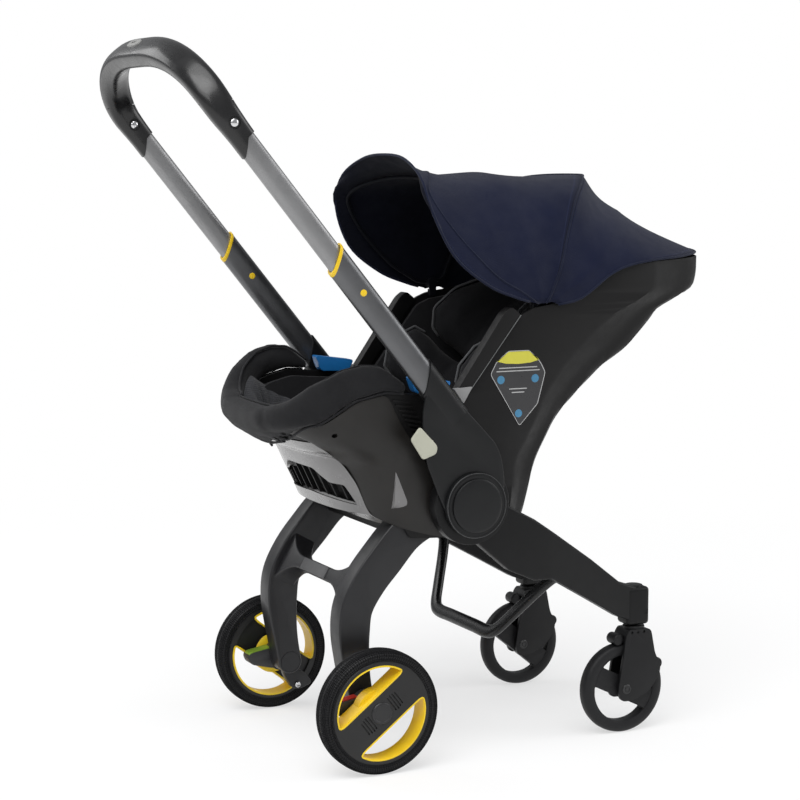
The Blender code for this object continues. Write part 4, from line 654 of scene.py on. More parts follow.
# Brake pedals: a lever beside each foot, hung on the axle, with a coloured pad on the end that the parent
# treads on. The right pad is red and sets the brake, the left one is green and frees it.
pedal_grey = moulded("pedal plastic", (0.03, 0.03, 0.032), 0.45, 0.15)
pad_green = moulded("green pad", (0.2, 0.33, 0.03), 0.42, 0.1)
pad_red = moulded("red pad", (0.42, 0.025, 0.018), 0.42, 0.1)
LEVER = ((-0.053, 0.004), (-0.048, -0.008), (-0.016, -0.016), (0.004, -0.017), (0.008, 0.006),
         (-0.012, 0.015), (-0.048, 0.009))
PAD = ((-0.051, 0.006), (-0.014, 0.0115), (-0.016, 0.0156), (-0.048, 0.01))
PAD_IN, GREEN_OUT, RED_OUT = 0.002, 0.002, 0.007
for side_name, side in SIDES:
    y0, y1 = side * (LEG_Y + LEG_HALF + 0.003), side * (LEG_Y + LEG_HALF + 0.0265)
    arm = [(AXLE_X + x, WHEEL_R + z) for x, z in LEVER]
    lever = slab("lever", rounded(arm, 0.006, 5), y0, y1)
    hub = slab("hub", ring((AXLE_X, WHEEL_R), 0.0205, 56), y0, y1)
    carve(lever, hub, operation="UNION")
    bore = slab("bore", ring((AXLE_X, WHEEL_R), 0.0064, 32), side * 0.14, side * 0.19)
    carve(lever, bore)
    soften(lever, 0.0018, 3)
    settle(lever, pedal_grey, "brake_pedal_" + side_name, "green" if side > 0 else "red",
           "brake_pedal_" + side_name)
    lever.name = "pedal_lever_" + side_name
    top = rounded([(AXLE_X + x, WHEEL_R + z) for x, z in PAD], 0.0012, 3)
    outer = y1 - side * (GREEN_OUT if side > 0 else RED_OUT)
    pad = slab("pedal_pad_" + side_name, top, y0 + side * PAD_IN, outer, 0.0008, 2)
    colour, slot = (pad_green, "green") if side > 0 else (pad_red, "red")
    settle(pad, colour, "brake_pedal_" + side_name, slot)

# Front legs: two slanting beams of black aluminium, flat outside and bent inwards to the casters, with a
# round root on the hub and a squared head for the swivel. A bent oval tube joins them underneath.
BEAM = (
    (0.0, 0.03, -0.048, 0.19475, 0.0105), (0.0585, -0.0076, -0.0975, 0.19475, 0.0105),
    (0.0985, -0.0286, -0.1156, 0.193, 0.0115), (0.1295, -0.049, -0.117, 0.1885, 0.0125),
    (0.2005, -0.0966, -0.1572, 0.173, 0.013), (0.2565, -0.1376, -0.1895, 0.1605, 0.0135),
    (0.288, -0.148, -0.2, 0.156, 0.0135),
)
beam_black = moulded("painted beam", (0.004, 0.0041, 0.0045), 0.44, 0.1, 1800, 0.08, specular=0.25)
tube_black = moulded("painted tube", (0.006, 0.0064, 0.0068), 0.26, 0.04, 1800, 0.08, specular=0.4)
# The pale grey strip on each rail's slanting edge is a painted highlight on the black lip, not a colour of
# the plastic.
rail_highlight_grey = moulded("painted rail edge highlight", (0.11, 0.115, 0.115), 0.4, 0.05)
for side_name, side in SIDES:
    rows = []
    for dx, top, bottom, y, half in BEAM:
        corners = [(y - half, bottom), (y + half, bottom), (y + half, top), (y - half, top)]
        corners = rounded(corners, 0.0042, 4)
        rows.append([(HUB.x + dx, side * across, HUB.y + dz) for across, dz in corners])
    beam = solid("beam", rows)
    y0, y1 = side * 0.184, side * 0.2055
    root = slab("root", ring(HUB, 0.0565, 96), y0, y1, 0.0014, 3)
    bpy.ops.object.select_all(action="DESELECT")
    bpy.ops.mesh.primitive_cube_add(size=1, location=(SWIVEL_X - 0.001, side * CASTER_Y, 0.1868))
    head = bpy.context.object
    head.scale = (0.037, 0.033, 0.0556)
    bpy.ops.object.transform_apply(location=True, scale=True)
    soften(head, 0.006, 6)
    crown = soften(peg(0.0135, 0.03, (SWIVEL_X - 0.001, side * CASTER_Y, 0.2018)), 0.002, 3)
    carve(beam, root, head, crown, operation="UNION")
    bore = slab("bore", ring(HUB, 0.0094, 40), side * 0.16, side * 0.23)
    socket = peg(0.0064, 0.076, (SWIVEL_X, side * CASTER_Y, 0.1665), 40)
    dimple = slab("dimple", ring((AXLE_X + 0.4418, 0.1784), 0.004, 32), side * 0.1705, side * 0.18)
    carve(beam, bore, socket, dimple)
    settle(beam, beam_black, "front_legs", "satin_black", "front_leg_" + side_name)
    beam.name = "front_leg_beam_" + side_name

top, low = Vector((0.149, -0.115)), Vector((0.0905, -0.2126))
line = []
for y, share in ((0.186, 0.0), (0.172, 0.07), (0.15, 0.3), (0.118, 0.7), (0.098, 0.93), (0.078, 1.0),
                 (0.04, 1.0), (0.0, 1.0)):
    here = top.lerp(low, share)
    line.append((HUB.x + here.x, y, HUB.y + here.y))
run = (low - top).normalized()
path = curve(line + [(x, -y, z) for x, y, z in reversed(line[:-1])], 120)
settle(solid("cross_tube_bent", swept(path, oval(0.012, 0.02, 32, 2.4), (run.y, 0, -run.x))),
       tube_black, "front_legs", "satin_black", "cross_tube")

# Handle, lower half: flat moulded arms on the hubs with a pale rocker that frees the tilt, round hub caps,
# and outer tubes of dark anodised aluminium that sit in the arms' sockets and end in slanted yellow rings.
LEAN = radians(39)
TUBE_OFF = 0.0566
TUBE_Y = 0.2
OUTER = (0.036, 0.0235)
RING_SLANT = 0.62
ALONG = Vector((-sin(LEAN), cos(LEAN)))
AHEAD = Vector((cos(LEAN), sin(LEAN)))


def on_handle(s, off=0.0):
    """The point at a distance along the handle from the hub, and off ahead of the tubes' centre line."""
    here = HUB + ALONG * s + AHEAD * (TUBE_OFF + off)
    return here.x, here.y


def tube_row(size, s, side, slant=0.0, count=40):
    row = []
    for off, across in oval(size[0], size[1], count, 2.7):
        x, z = on_handle(s + slant * off, off)
        row.append((x, side * TUBE_Y + across, z))
    return row


def tube_piece(name, size, s0, s1, slant0, slant1, side, bore=0.0, steps=2):
    rows = []
    for k in range(steps):
        t = k / (steps - 1)
        rows.append(tube_row(size, s0 + (s1 - s0) * t, side, slant0 + (slant1 - slant0) * t))
    if not bore:
        return solid(name, rows)
    small = (size[0] - 2 * bore, size[1] - 2 * bore)
    rows += [tube_row(small, s1, side, slant1), tube_row(small, s0, side, slant0), rows[0]]
    return skin(name, rows, tube=True)


arm_black = moulded("arm plastic", (0.006, 0.0064, 0.007), 0.4, 0.1, specular=0.3)
arm_edge = moulded("hub outline", (0.07, 0.071, 0.073), 0.4, 0.05)
anodised = moulded("anodised tube", (0.14, 0.142, 0.147), 0.36, 0.05, 900, 0.06)
anodised.node_tree.nodes["Principled BSDF"].inputs["Metallic"].default_value = 0.85
tube_yellow = moulded("yellow ring", (0.8, 0.53, 0.012), 0.36, 0.05, shade=0.05)
button_pale = moulded("pale button", (0.43, 0.43, 0.35), 0.4, 0.06, shade=0.04)
ARM = (
    (-0.0345, 0.159), (-0.0225, 0.1414), (0.0335, 0.0824), (0.0425, 0.0594), (0.0465, 0.0294),
    (0.0435, -0.0016),
    (0.0285, -0.0306), (0.0045, -0.0436), (-0.0195, -0.0396), (-0.0335, -0.0306), (-0.0525, 0.0124),
    (-0.0725, 0.0624), (-0.0785, 0.1144), (-0.0778, 0.14), (-0.07, 0.162), (-0.05, 0.168),
)
ROCKER = ((-0.0985, 0.096), (-0.0845, 0.113), (-0.058, 0.085), (-0.06, 0.0745), (-0.08, 0.0675))
ROCKER_AT = HUB + Vector((-0.068, 0.09))
for side_name, side in SIDES:
    face = side * 0.2116
    shape = rounded(at_hub(ARM), 0.012, 6)
    arm = slab("arm", shape, side * 0.2062, face, 0.0016, 3)
    socket = tube_piece("socket", (OUTER[0] + 0.0042, OUTER[1] + 0.0042), 0.108, 0.1825, 0.0, 0.8, side)
    boss = slab("boss", ring(HUB, 0.0455, 96), face - side * 0.003, side * 0.2185, 0.0018, 4)
    carve(arm, socket, boss, operation="UNION")
    room = tube_piece("room", (OUTER[0] + 0.0004, OUTER[1] + 0.0004), 0.149, 0.3, 0.0, 0.0, side)
    pin = slab("pin", ring(HUB, 0.0092, 40), side * 0.19, side * 0.3)
    pocket = slab("pocket", rounded(grown(at_hub(ROCKER), 0.0005), 0.0045, 4), side * 0.208, side * 0.25)
    stem = slab("stem", ring(ROCKER_AT, 0.0049, 32), side * 0.2, side * 0.25)
    rim = facing(0.0, side, (0.0418, 0.2179), (0.0424, 0.2179), (0.0424, 0.219), (0.0418, 0.219))
    rim = turned("rim", rim, HUB.x, HUB.y, 96)
    carve(arm, room, pin, pocket, stem, rim)
    settle(arm, arm_black, "handle", "satin_black", "handle_arm_" + side_name)
    arm.name = "arm_moulding_" + side_name

    cap = facing(0.0, side, (0.0, 0.218), (0.0365, 0.218), (0.037, 0.22), (0.037, 0.2211), (0.036, 0.2219),
                 (0.033, 0.2224), (0.018, 0.2227), (0.0, 0.2228))
    settle(turned("hub_disc_" + side_name, cap, HUB.x, HUB.y, 96), arm_black, "handle", "satin_black",
           "hub_cap_" + side_name)
    line = facing(0.0, side, (0.0444, 0.2182), (0.0449, 0.2182), (0.0449, 0.21868), (0.0444, 0.21868))
    settle(turned("hub_line_" + side_name, line, HUB.x, HUB.y, 96), arm_edge, "handle", "satin_black")

    tube = "outer_tube_" + side_name + "_metal"
    tube = tube_piece(tube, OUTER, 0.1495, 0.387, 0.0, RING_SLANT, side, 0.002, 4)
    settle(tube, anodised, "handle", "tube_metal", "outer_tube_" + side_name)
    around = (OUTER[0] + 0.0012, OUTER[1] + 0.0012)
    collar = tube_piece("ring", around, 0.3871, 0.3925, RING_SLANT, RING_SLANT, side, 0.0028)
    soften(collar, 0.0005, 2)
    dots = []
    for way in (1, -1):
        x, z = on_handle(0.334, 0.0)
        y = side * TUBE_Y + way * (OUTER[1] / 2)
        dot = facing(y, way, (0.0, -0.001), (0.0046, -0.001), (0.0046, 0.0003), (0.0036, 0.0006),
                     (0.0, 0.0006))
        dots.append(turned("dot", dot, x, z, 32))
    settle(joined("tube_ring_" + side_name, collar, *dots), tube_yellow, "handle", "yellow",
           "tube_collar_" + side_name)

    rocker = slab("rocker", rounded(at_hub(ROCKER), 0.0042, 5), side * 0.2112, side * 0.215, 0.0012, 4)
    post = slab("post", ring(ROCKER_AT, 0.0045, 32), side * 0.2068, side * 0.213)
    settle(joined("tilt_button_" + side_name, rocker, post), button_pale, "release_button_" + side_name,
           "pale_grey", "release_button_" + side_name)

# Handle, upper half: slimmer tubes that slide into the lower ones, and the grip, a glossy black moulded band
# bent round the top with slanted feet. A rivet with domed heads holds each foot, and a small button sits on
# the top.
GRIP = (0.042, 0.031)
GRIP_FOOT, GRIP_TOP, GRIP_CORNER, GRIP_WIDE, GRIP_BEND = 0.588, 0.725, 0.106, 0.18, 0.02
FOOT_HALF = 0.0129
slide_metal = moulded("slide tube", (0.3, 0.3, 0.304), 0.38, 0.05, 900, 0.06)
slide_metal.node_tree.nodes["Principled BSDF"].inputs["Metallic"].default_value = 0.8
grip_gloss = moulded("grip plastic", (0.007, 0.007, 0.0075), 0.3, 0.04, 900, 0.06, coat=0.25, specular=0.45)
chrome = moulded("chromed rivet", (0.7, 0.7, 0.71), 0.16, 0.02, 900, 0.03)
chrome.node_tree.nodes["Principled BSDF"].inputs["Metallic"].default_value = 1.0
recess_black = moulded("rivet recess", (0.006, 0.006, 0.006), 0.6, 0.04)
tab_grey = moulded("tab plastic", (0.3, 0.3, 0.29), 0.42, 0.06)
for side_name, side in SIDES:
    tube = tube_piece("slide_tube_" + side_name, (0.0304, 0.0182), 0.345, GRIP_FOOT + 0.039, 0.0, 0.0, side)
    settle(tube, slide_metal, "handle_upper", "tube_metal", "inner_tube_" + side_name)

flat = [(GRIP_FOOT, TUBE_Y)]
flat += [(GRIP_FOOT + (GRIP_TOP - GRIP_CORNER - GRIP_FOOT) * k / 6, TUBE_Y) for k in range(1, 7)]
flat += [(GRIP_TOP - GRIP_CORNER + GRIP_CORNER * sin(pi / 2 * i / 24) ** (2 / 2.35),
          TUBE_Y - GRIP_WIDE * (1 - cos(pi / 2 * i / 24) ** (2 / 2.35))) for i in range(1, 25)]
flat += [(GRIP_TOP, (TUBE_Y - GRIP_WIDE) * (1 - k / 3)) for k in range(1, 4)]
flat += [(s, -y) for s, y in reversed(flat[:-1])]
path = []
for s, y in flat:
    bend = GRIP_BEND * max(0.0, (s - GRIP_FOOT - 0.04) / (GRIP_TOP - GRIP_FOOT - 0.04)) ** 1.5
    x, z = on_handle(s, bend)
    path.append((x, y, z))
rows = swept(path, oval(GRIP[0], GRIP[1], 44, 2.9), (AHEAD.x, 0, AHEAD.y))
for row, (x, y, z), (s, _) in zip(rows, path, flat):
    slim = min(1.0, max(0.0, (s - GRIP_FOOT) / 0.09))
    slim = 0.8 + 0.2 * slim * slim * (3 - 2 * slim)
    for i, point in enumerate(row):
        row[i] = Vector((x, y, z)) + (Vector(point) - Vector((x, y, z))) * slim
for row in (rows[0], rows[-1]):
    for i, point in enumerate(row):
        off = (Vector((point.x, point.z)) - Vector((path[0][0], path[0][2]))).dot(AHEAD)
        row[i] = point + Vector((ALONG.x, 0, ALONG.y)) * (off + 0.002) * 1.0
grip = solid("grip_moulding", rows)
cuts = []
for side in (1, -1):
    cuts.append(tube_piece("room", (0.031, 0.0188), GRIP_FOOT - 0.03, GRIP_FOOT + 0.0403, 0.0, 0.0, side))
    x, z = on_handle(GRIP_FOOT + 0.0315, 0.0)
    for way in (1, -1):
        y = side * TUBE_Y + way * FOOT_HALF
        dish = facing(y, way, (0.0, -0.0012), (0.0078, -0.0012), (0.0094, 0.003), (0.0, 0.003))
        cuts.append(turned("dish", dish, x, z, 48))
    inside = tube_row((GRIP[0] * 0.93 - 0.0014, GRIP[1] * 0.93 - 0.0014), GRIP_FOOT + 0.064, side, -0.55)
    outside = tube_row((GRIP[0] + 0.006, GRIP[1] + 0.006), GRIP_FOOT + 0.064, side, -0.55)
    lift = Vector((ALONG.x, 0, ALONG.y)) * 0.0011
    cuts.append(skin("seam", [inside, outside, [Vector(p) + lift for p in outside],
                              [Vector(p) + lift for p in inside], inside], tube=True))


def button_row(width, depth, s):
    row = []
    for off, across in oval(width, depth, 40, 3.2):
        x, z = on_handle(s, GRIP_BEND + off)
        row.append((x, across, z))
    return row


crest = GRIP_TOP + GRIP[1] / 2
cuts.append(solid("well", [button_row(0.0151, 0.0421, crest + up) for up in (-0.01, 0.02)]))
carve(grip, *cuts)
settle(grip, grip_gloss, "handle_upper", "satin_black", "grip")
for side_name, side in SIDES:
    x, z = on_handle(GRIP_FOOT + 0.0315, 0.0)
    seats, domes = [], []
    for way in (1, -1):
        y = side * TUBE_Y + way * FOOT_HALF
        seat = facing(y, way, (0.0, -0.002), (0.0076, -0.002), (0.0076, -0.0011), (0.0, -0.0011))
        seats.append(turned("seat", seat, x, z, 40))
        bulge = [(0.0056 * cos(pi / 2 * k / 6), -(0.001 - 0.0024 * sin(pi / 2 * k / 6))) for k in range(7)]
        domes.append(turned("dome", facing(y, way, (0.0, -0.0016), (0.0056, -0.0016), *bulge), x, z, 48))
    settle(joined("rivet_seat_" + side_name, *seats), recess_black, "handle_upper", "satin_black")
    settle(joined("rivet_" + side_name, *domes), chrome, "handle_upper", "steel")
rows = [button_row(0.0146, 0.0416, crest - 0.0085), button_row(0.0146, 0.0416, crest + 0.0008),
        button_row(0.0136, 0.0406, crest + 0.0018), button_row(0.011, 0.038, crest + 0.0021)]
tab = solid("tab", rows)
slot = [button_row(0.0034, 0.018, s) for s in (crest + 0.0008, crest + 0.006)]
carve(tab, solid("slot", slot))
settle(tab, tab_grey, "grip_button", "gloss_grey", "grip_button")
tab.name = "grip_tab"

# Seat shell: one large moulding of black polypropylene, a deep bucket with a foot well in front and a wide
# rim round the head. Channels under it take the folded rear legs, and all other parts of the seat fix to it.
SHELL_LEVELS = (
    (-0.0506, -0.122, 0.07, 0.1, 0.108, 0.166, 0.142),
    (-0.03, -0.133, 0.074, 0.108, 0.116, 0.17, 0.146),
    (0.0, -0.147, 0.078, 0.115, 0.124, 0.172, 0.148),
    (0.048, -0.168, 0.08, 0.127, 0.138, 0.1715, 0.15),
    (0.061, -0.176, 0.087, 0.134, 0.146, 0.1715, 0.15),
    (0.07, -0.197, 0.092, 0.139, 0.151, 0.1715, 0.15),
    (0.088, -0.2215, 0.102, 0.149, 0.162, 0.173, 0.15),
    (0.108, -0.238, 0.113, 0.16, 0.174, 0.174, 0.15),
    (0.14, -0.25, 0.125, 0.193, 0.208, 0.174, 0.15),
    (0.181, -0.252, 0.155, 0.24, 0.256, 0.174, 0.15),
    (0.196, -0.252, 0.17, 0.272, 0.284, 0.174, 0.15),
    (0.234, -0.252, 0.211, 0.309, 0.324, 0.174, 0.15),
    (0.264, -0.252, 0.262, 0.334, 0.35, 0.174, 0.15),
    (0.274, -0.252, 0.3, 0.388, 0.412, 0.174, 0.142),
    (0.3, -0.252, 0.305, 0.398, 0.428, 0.174, 0.14),
    (0.35, -0.252, 0.305, 0.398, 0.432, 0.174, 0.14),
)
BUCKET_LEVELS = (
    (-0.04, -0.055, 0.05, 0.084, 0.092, 0.096, 0.08),
    (-0.015, -0.066, 0.06, 0.1, 0.108, 0.1, 0.086),
    (0.02, -0.07, 0.07, 0.11, 0.12, 0.102, 0.09),
    (0.048, -0.076, 0.08, 0.118, 0.128, 0.104, 0.092),
    (0.054, -0.16, 0.082, 0.122, 0.132, 0.106, 0.094),
    (0.064, -0.174, 0.088, 0.128, 0.14, 0.16, 0.14),
)
RIM_LINE = (
    (-0.3, 0.102), (-0.24, 0.106), (-0.205, 0.114), (-0.181, 0.132), (-0.16, 0.146), (-0.117, 0.156),
    (-0.07, 0.152), (-0.024, 0.15), (0.01, 0.15), (0.0905, 0.255), (0.112, 0.264), (0.1475, 0.269),
    (0.1805, 0.2755), (0.2065, 0.29), (0.2315, 0.307), (0.2625, 0.318), (0.3055, 0.3236), (0.36, 0.3248),
    (0.41, 0.328), (0.434, 0.3302), (0.46, 0.3308),
)
TRAY_TOP = ((-0.262, 0.093), (-0.228, 0.078), (-0.199, 0.0475), (-0.079, 0.0475), (-0.079, -0.07))
REAR_PIVOT = HUB + Vector((-0.0145, -0.0276))
FOLD = radians(51)
ROUND, NOSE_MOST, NOSE_SHARE = 2.6, 0.13, 0.62
HUB_BORE, LEG_BORE = 0.0094, 0.0074
PAST = 0.30


def level_at(levels, dz):
    for low, high in zip(levels, levels[1:]):
        if dz <= high[0]:
            share = max(0.0, (dz - low[0]) / (high[0] - low[0]))
            return tuple(a + (b - a) * share for a, b in zip(low, high))
    return levels[-1]


def eased(levels, count, reach):
    """Levels closer together, each a mean of its neighbourhood, so that the walls flow without a kink."""
    bottom, top = levels[0][0], levels[-1][0]
    found = []
    for i in range(count):
        dz = bottom + (top - bottom) * i / (count - 1)
        near = min(reach, dz - bottom, top - dz)
        around = [level_at(levels, dz + near * k / 2) for k in (-2, -1, 0, 1, 2)]
        found.append(tuple(sum(v) / 5 for v in zip(*around)))
    return found


def plan(level, grow=0.0):
    """The outline of the seat seen from above at one level, moved outwards by grow."""
    dz, front, crease, corner, back, half, half_corner = level
    front, back, half = front - grow, back + grow, half + grow
    half_corner, corner = half_corner + grow * 0.7, corner + grow * 0.7
    nose = min(NOSE_MOST, (crease - front) * NOSE_SHARE)
    side = []
    for i in range(19):
        a = pi / 2 * i / 18
        side.append((front + nose * (1 - cos(a) ** (2 / ROUND)), half * sin(a) ** (2 / ROUND)))
    run = crease - (front + nose)
    side += [(front + nose + run * k / 4, half) for k in (1, 2, 3)]
    turn = [(crease, half), (crease * 0.45 + corner * 0.55, half * 0.4 + half_corner * 0.6),
            (corner, half_corner), (corner * 0.3 + back * 0.7, half_corner * 0.62),
            (back - (back - corner) * 0.04, half_corner * 0.25)]
    turn += [(x, -y) for x, y in reversed(turn)]
    behind = [(p.x, p.y) for p in curve(turn, 47)]
    outline = side + behind + [(x, -y) for x, y in reversed(side[1:])]
    return [(HUB.x + x, y, HUB.y + dz) for x, y in outline]


def seat_loft(name, levels, grow=0.0):
    return solid(name, [plan(level, grow) for level in levels])


def shell_loft(name, grow=0.0, levels=SHELL_LEVELS):
    return seat_loft(name, eased(levels, 72, 0.011), grow)


def shadow(points, grow, floor):
    """The outline of a column from a floor level up to the top of an outline turned to its folded place."""
    placed = [(x - REAR_PIVOT.x, z - REAR_PIVOT.y) for x, z in points]
    placed = grown(swung(placed, -FOLD, REAR_PIVOT.x, REAR_PIVOT.y), grow)
    left, right = min(p[0] for p in placed), max(p[0] for p in placed)
    top = []
    for i in range(29):
        x = left + (right - left) * i / 28
        highest = floor
        for a, b in zip(placed, placed[1:] + placed[:1]):
            if min(a[0], b[0]) - 1e-9 <= x <= max(a[0], b[0]) + 1e-9 and abs(a[0] - b[0]) > 1e-9:
                highest = max(highest, a[1] + (b[1] - a[1]) * (x - a[0]) / (b[0] - a[0]))
        top.append((x, highest + 0.0002))
    return [(left, floor)] + top + [(right, floor)]


def leg_rooms():
    """Cutters for the room that the folded rear legs and their bar take up under the seat."""
    floor = HUB.y - 0.09
    made = []
    for side in (1, -1):
        y0, y1 = side * (LEG_Y - LEG_HALF - 0.003), side * (LEG_Y + LEG_HALF + 0.003)
        well = ring(REAR_PIVOT, 0.023, 13, 0, pi)
        well = [(well[0][0], floor)] + well + [(well[-1][0], floor)]
        for extra, points in enumerate((shadow(leg_shape, 0.003, floor), grown(leg_shape, 0.003), well)):
            more = side * 0.0003 * extra
            made.append(slab("room", points, y0 - more, y1 + more))
    for rise, ahead, y in ((0.04, 0.012, 0.117), (0.03, 0.025, 0.1164)):
        points = [(bar_at.x + along.x * a + behind.x * b, bar_at.y + along.y * a + behind.y * b)
                  for a, b in ((-rise, -ahead), (rise, -ahead), (rise, 0.012), (-rise, 0.012))]
        made.append(slab("room", shadow(points, 0.003, floor - 0.001), -y, y))
    return made


def over_rim(drop):
    line = [(x, z - drop) for x, z in RIM_LINE]
    outline = at_hub(line + [(0.46, 0.6), (-0.3, 0.6)])
    return slab("over", rounded(outline, 0.007, 5), -PAST, PAST)


shell_black = moulded("shell plastic", (0.004, 0.0038, 0.004), 0.48, 0.16, specular=0.26)
walls = (0.0, 0.006, -0.003, -0.004, -0.008, -0.006, -0.003)
upper_levels = [level_at(SHELL_LEVELS, 0.09)] + [level for level in SHELL_LEVELS if level[0] > 0.1]
inner_levels = list(BUCKET_LEVELS) + [tuple(a + b for a, b in zip(level, walls)) for level in upper_levels]
under = at_hub(list(TRAY_TOP) + [(-0.32, -0.07), (-0.32, 0.093)])
bores = []
for side in (1, -1):
    bores.append(slab("bore", ring(HUB, HUB_BORE, 40), side * 0.154, side * PAST))
    bores.append(slab("bore", ring(REAR_PIVOT, LEG_BORE, 32), side * 0.1045, side * 0.165))
shell = shell_loft("shell")
carve(shell, seat_loft("inside", eased(inner_levels, 72, 0.003)), over_rim(0.0),
      slab("under", under, -PAST, PAST))
soften(shell, 0.0016, 3, 42)
carve(shell, *leg_rooms(), *bores)
settle(shell, shell_black, "seat", "satin_black", "seat_shell")
shell.name = "shell_moulding"

# Side panels: thin satin covers, a shade browner than the shell, clipped over its sides between the foot end
# and the hub, with a small hole near their front edge.
panel_grey = moulded("panel plastic", (0.013, 0.0118, 0.0108), 0.4, 0.12, specular=0.35)
WINDOW = (
    (-0.2395, 0.1044), (-0.22, 0.108), (-0.2045, 0.11), (-0.1815, 0.129), (-0.1605, 0.145), (-0.118, 0.154),
    (-0.11, 0.142), (-0.1, 0.12), (-0.085, 0.096), (-0.064, 0.07), (-0.048, 0.038), (-0.025, 0.01),
    (0.01, -0.01), (0.02, -0.05), (-0.0065, -0.0506), (-0.0375, -0.0476), (-0.0835, -0.0356), (-0.117, -0.02),
    (-0.124, -0.008), (-0.139, 0.026), (-0.159, 0.057), (-0.185, 0.075), (-0.208, 0.09),
)


def window(side):
    """A block over one side of the seat, with the side panel's outline."""
    return slab("window", rounded(at_hub(WINDOW), 0.011, 5), side * 0.085, side * 0.24)


for side_name, side in SIDES:
    panel = shell_loft("panel", 0.0043)
    carve(panel, window(side), operation="INTERSECT")
    hole = slab("hole", ring((HUB.x - 0.1845, HUB.y + 0.0994), 0.0032, 24), side * 0.1, side * 0.24)
    carve(panel, shell_loft("core", 0.0003),
          slab("bore", ring(HUB, HUB_BORE, 40), side * 0.1, side * PAST), hole)
    soften(panel, 0.0012, 3, 50)
    settle(panel, panel_grey, "seat", "warm_black", "side_panel_" + side_name)
    panel.name = "side_cover_" + side_name

# Pleats: short ribs of the shell's black plastic, moulded into each of its sides behind the side panel's
# slanting edge, each a little shorter than the one above it.
PLEATS = 9
for side_name, side in SIDES:
    pleats = []
    for k in range(PLEATS):
        x, z = HUB.x - 0.1075 + 0.0046 * k, HUB.y + 0.144 - 0.0068 * k
        long = 0.029 - 0.0012 * k
        corners = [(x, z), (x + long, z - 0.005), (x + long, z - 0.0022), (x, z + 0.0028)]
        pleats.append(slab("pleat", rounded(corners, 0.0008, 3), side * 0.172, side * 0.176, 0.0009, 3))
    settle(joined("pleats_" + side_name, *pleats), shell_black, "seat", "satin_black")

# Foot tray: a glossy mid grey moulding under the foot well, open beneath where the folded bar goes in. Black
# ribs cross the opening.
tray_gloss = moulded("tray plastic", (0.165, 0.162, 0.162), 0.24, 0.05, coat=0.3)
TRAY_FRONT = ((-0.041, -0.084, 0.164), (-0.0326, -0.0895, 0.166), (-0.0206, -0.101, 0.167),
              (-0.0016, -0.18, 0.168), (0.0044, -0.192, 0.168), (0.083, -0.233, 0.168))
FRONT_HALF, WALL_THICK, RECESS_DEEP = 0.1737, 0.0032, 0.011
below = [(x, z - 0.0003) for x, z in TRAY_TOP]
below[3:] = [(x - 0.0003, z) for x, z in below[3:]]
tray_levels = [(dz, front, 0.06, 0.09, 0.1, half, 0.14) for dz, front, half in TRAY_FRONT]
tray = seat_loft("tray", eased(tray_levels, 48, 0.005))
carve(tray, slab("room", at_hub(below + [(-0.32, -0.07), (-0.32, 0.0927)]), -PAST, PAST),
      operation="INTERSECT")
STEEP = ((-0.018, -0.1443), (-0.01, -0.1482), (0.059, -0.1815), (0.0625, -0.183), (0.07, -0.2025),
         (0.085, -0.218))
RECESS = ((0.045, 0.04), (0.076, 0.0225), (0.106, 0.0225), (0.114, -0.0055), (0.06, -0.002), (0.0, 0.0))
recess = rounded(list(RECESS) + [(-y, z) for y, z in reversed(RECESS[:-1])], 0.004, 3)


def on_face(y, z, depth):
    """A point of the tray's steep front, a distance behind its surface."""
    back = 0.118 * (1 - (1 - min(1.0, abs(y) / FRONT_HALF) ** ROUND) ** (1 / ROUND))
    return HUB.x - 0.153 - 0.482 * z + back + depth, y, HUB.y + z


def face_block(name, outline, near, far):
    """A block that follows the steep front, from one distance behind its surface to another."""
    return solid(name, [[on_face(y, z, depth) for y, z in outline] for depth in (near, far)])


def steep_front(name, back=0.0, beyond=0.0):
    """The tray's steep front wall and all behind it, its surface moved back and its ends moved out."""
    levels = [(dz, front + back, 0.06, 0.09, 0.1, FRONT_HALF - back, 0.14) for dz, front in STEEP]
    levels = eased(levels, 60, 0.002)
    levels[0] = (levels[0][0] - beyond,) + levels[0][1:]
    levels[-1] = (levels[-1][0] + beyond,) + levels[-1][1:]
    return seat_loft(name, levels)


def front_tools():
    """What the front leaves free: the shell over it, all that lies behind, the side panels and the recess."""
    upper = [level_at(SHELL_LEVELS, 0.0476)] + [level for level in SHELL_LEVELS if level[0] > 0.048]
    behind = ((-0.1, -0.08), (0.2, -0.08), (0.2, 0.12), (-0.1, 0.12))
    made = [shell_loft("core", 0.0005, upper), slab("behind", at_hub(behind), -PAST, PAST)]
    for way in (1, -1):
        made.append(carve(window(way), shell_loft("core", -0.001)))
    return made + [face_block("recess", recess, -0.03, RECESS_DEEP)]


front_cut = at_hub(((-0.099, -0.08), (-0.32, -0.08), (-0.32, 0.12), (-0.15, 0.12),
                    (-0.15, 0.0476), (-0.099, 0.0476)))
carve(tray, slab("front", front_cut, -PAST, PAST))
carve(tray, carve(steep_front("apron"), *front_tools()), operation="UNION")
carve(tray, *leg_rooms())
wall = carve(steep_front("wall"), steep_front("hollow", WALL_THICK, 0.004), *front_tools())
carve(tray, wall, operation="UNION")
soften(tray, 0.0012, 2, 55)
settle(tray, tray_gloss, "seat", "gloss_grey", "foot_tray")
tray.name = "tray_moulding"
plate = face_block("plate", grown(recess, -0.0004), 0.01, 0.0116)
ribs = []
for k in range(-4, 5):
    y = 0.024 * k
    low, high = 0.0012, (0.038 if abs(y) < 0.045 else 0.0205 if abs(y) > 0.07 else 0.029)
    rib = ((y - 0.0011, low), (y + 0.0011, low), (y + 0.0011, high), (y - 0.0011, high))
    ribs.append(face_block("rib", rib, 0.004, 0.0108))
settle(joined("tray_recess_ribs", plate, *ribs), shell_black, "seat", "satin_black")
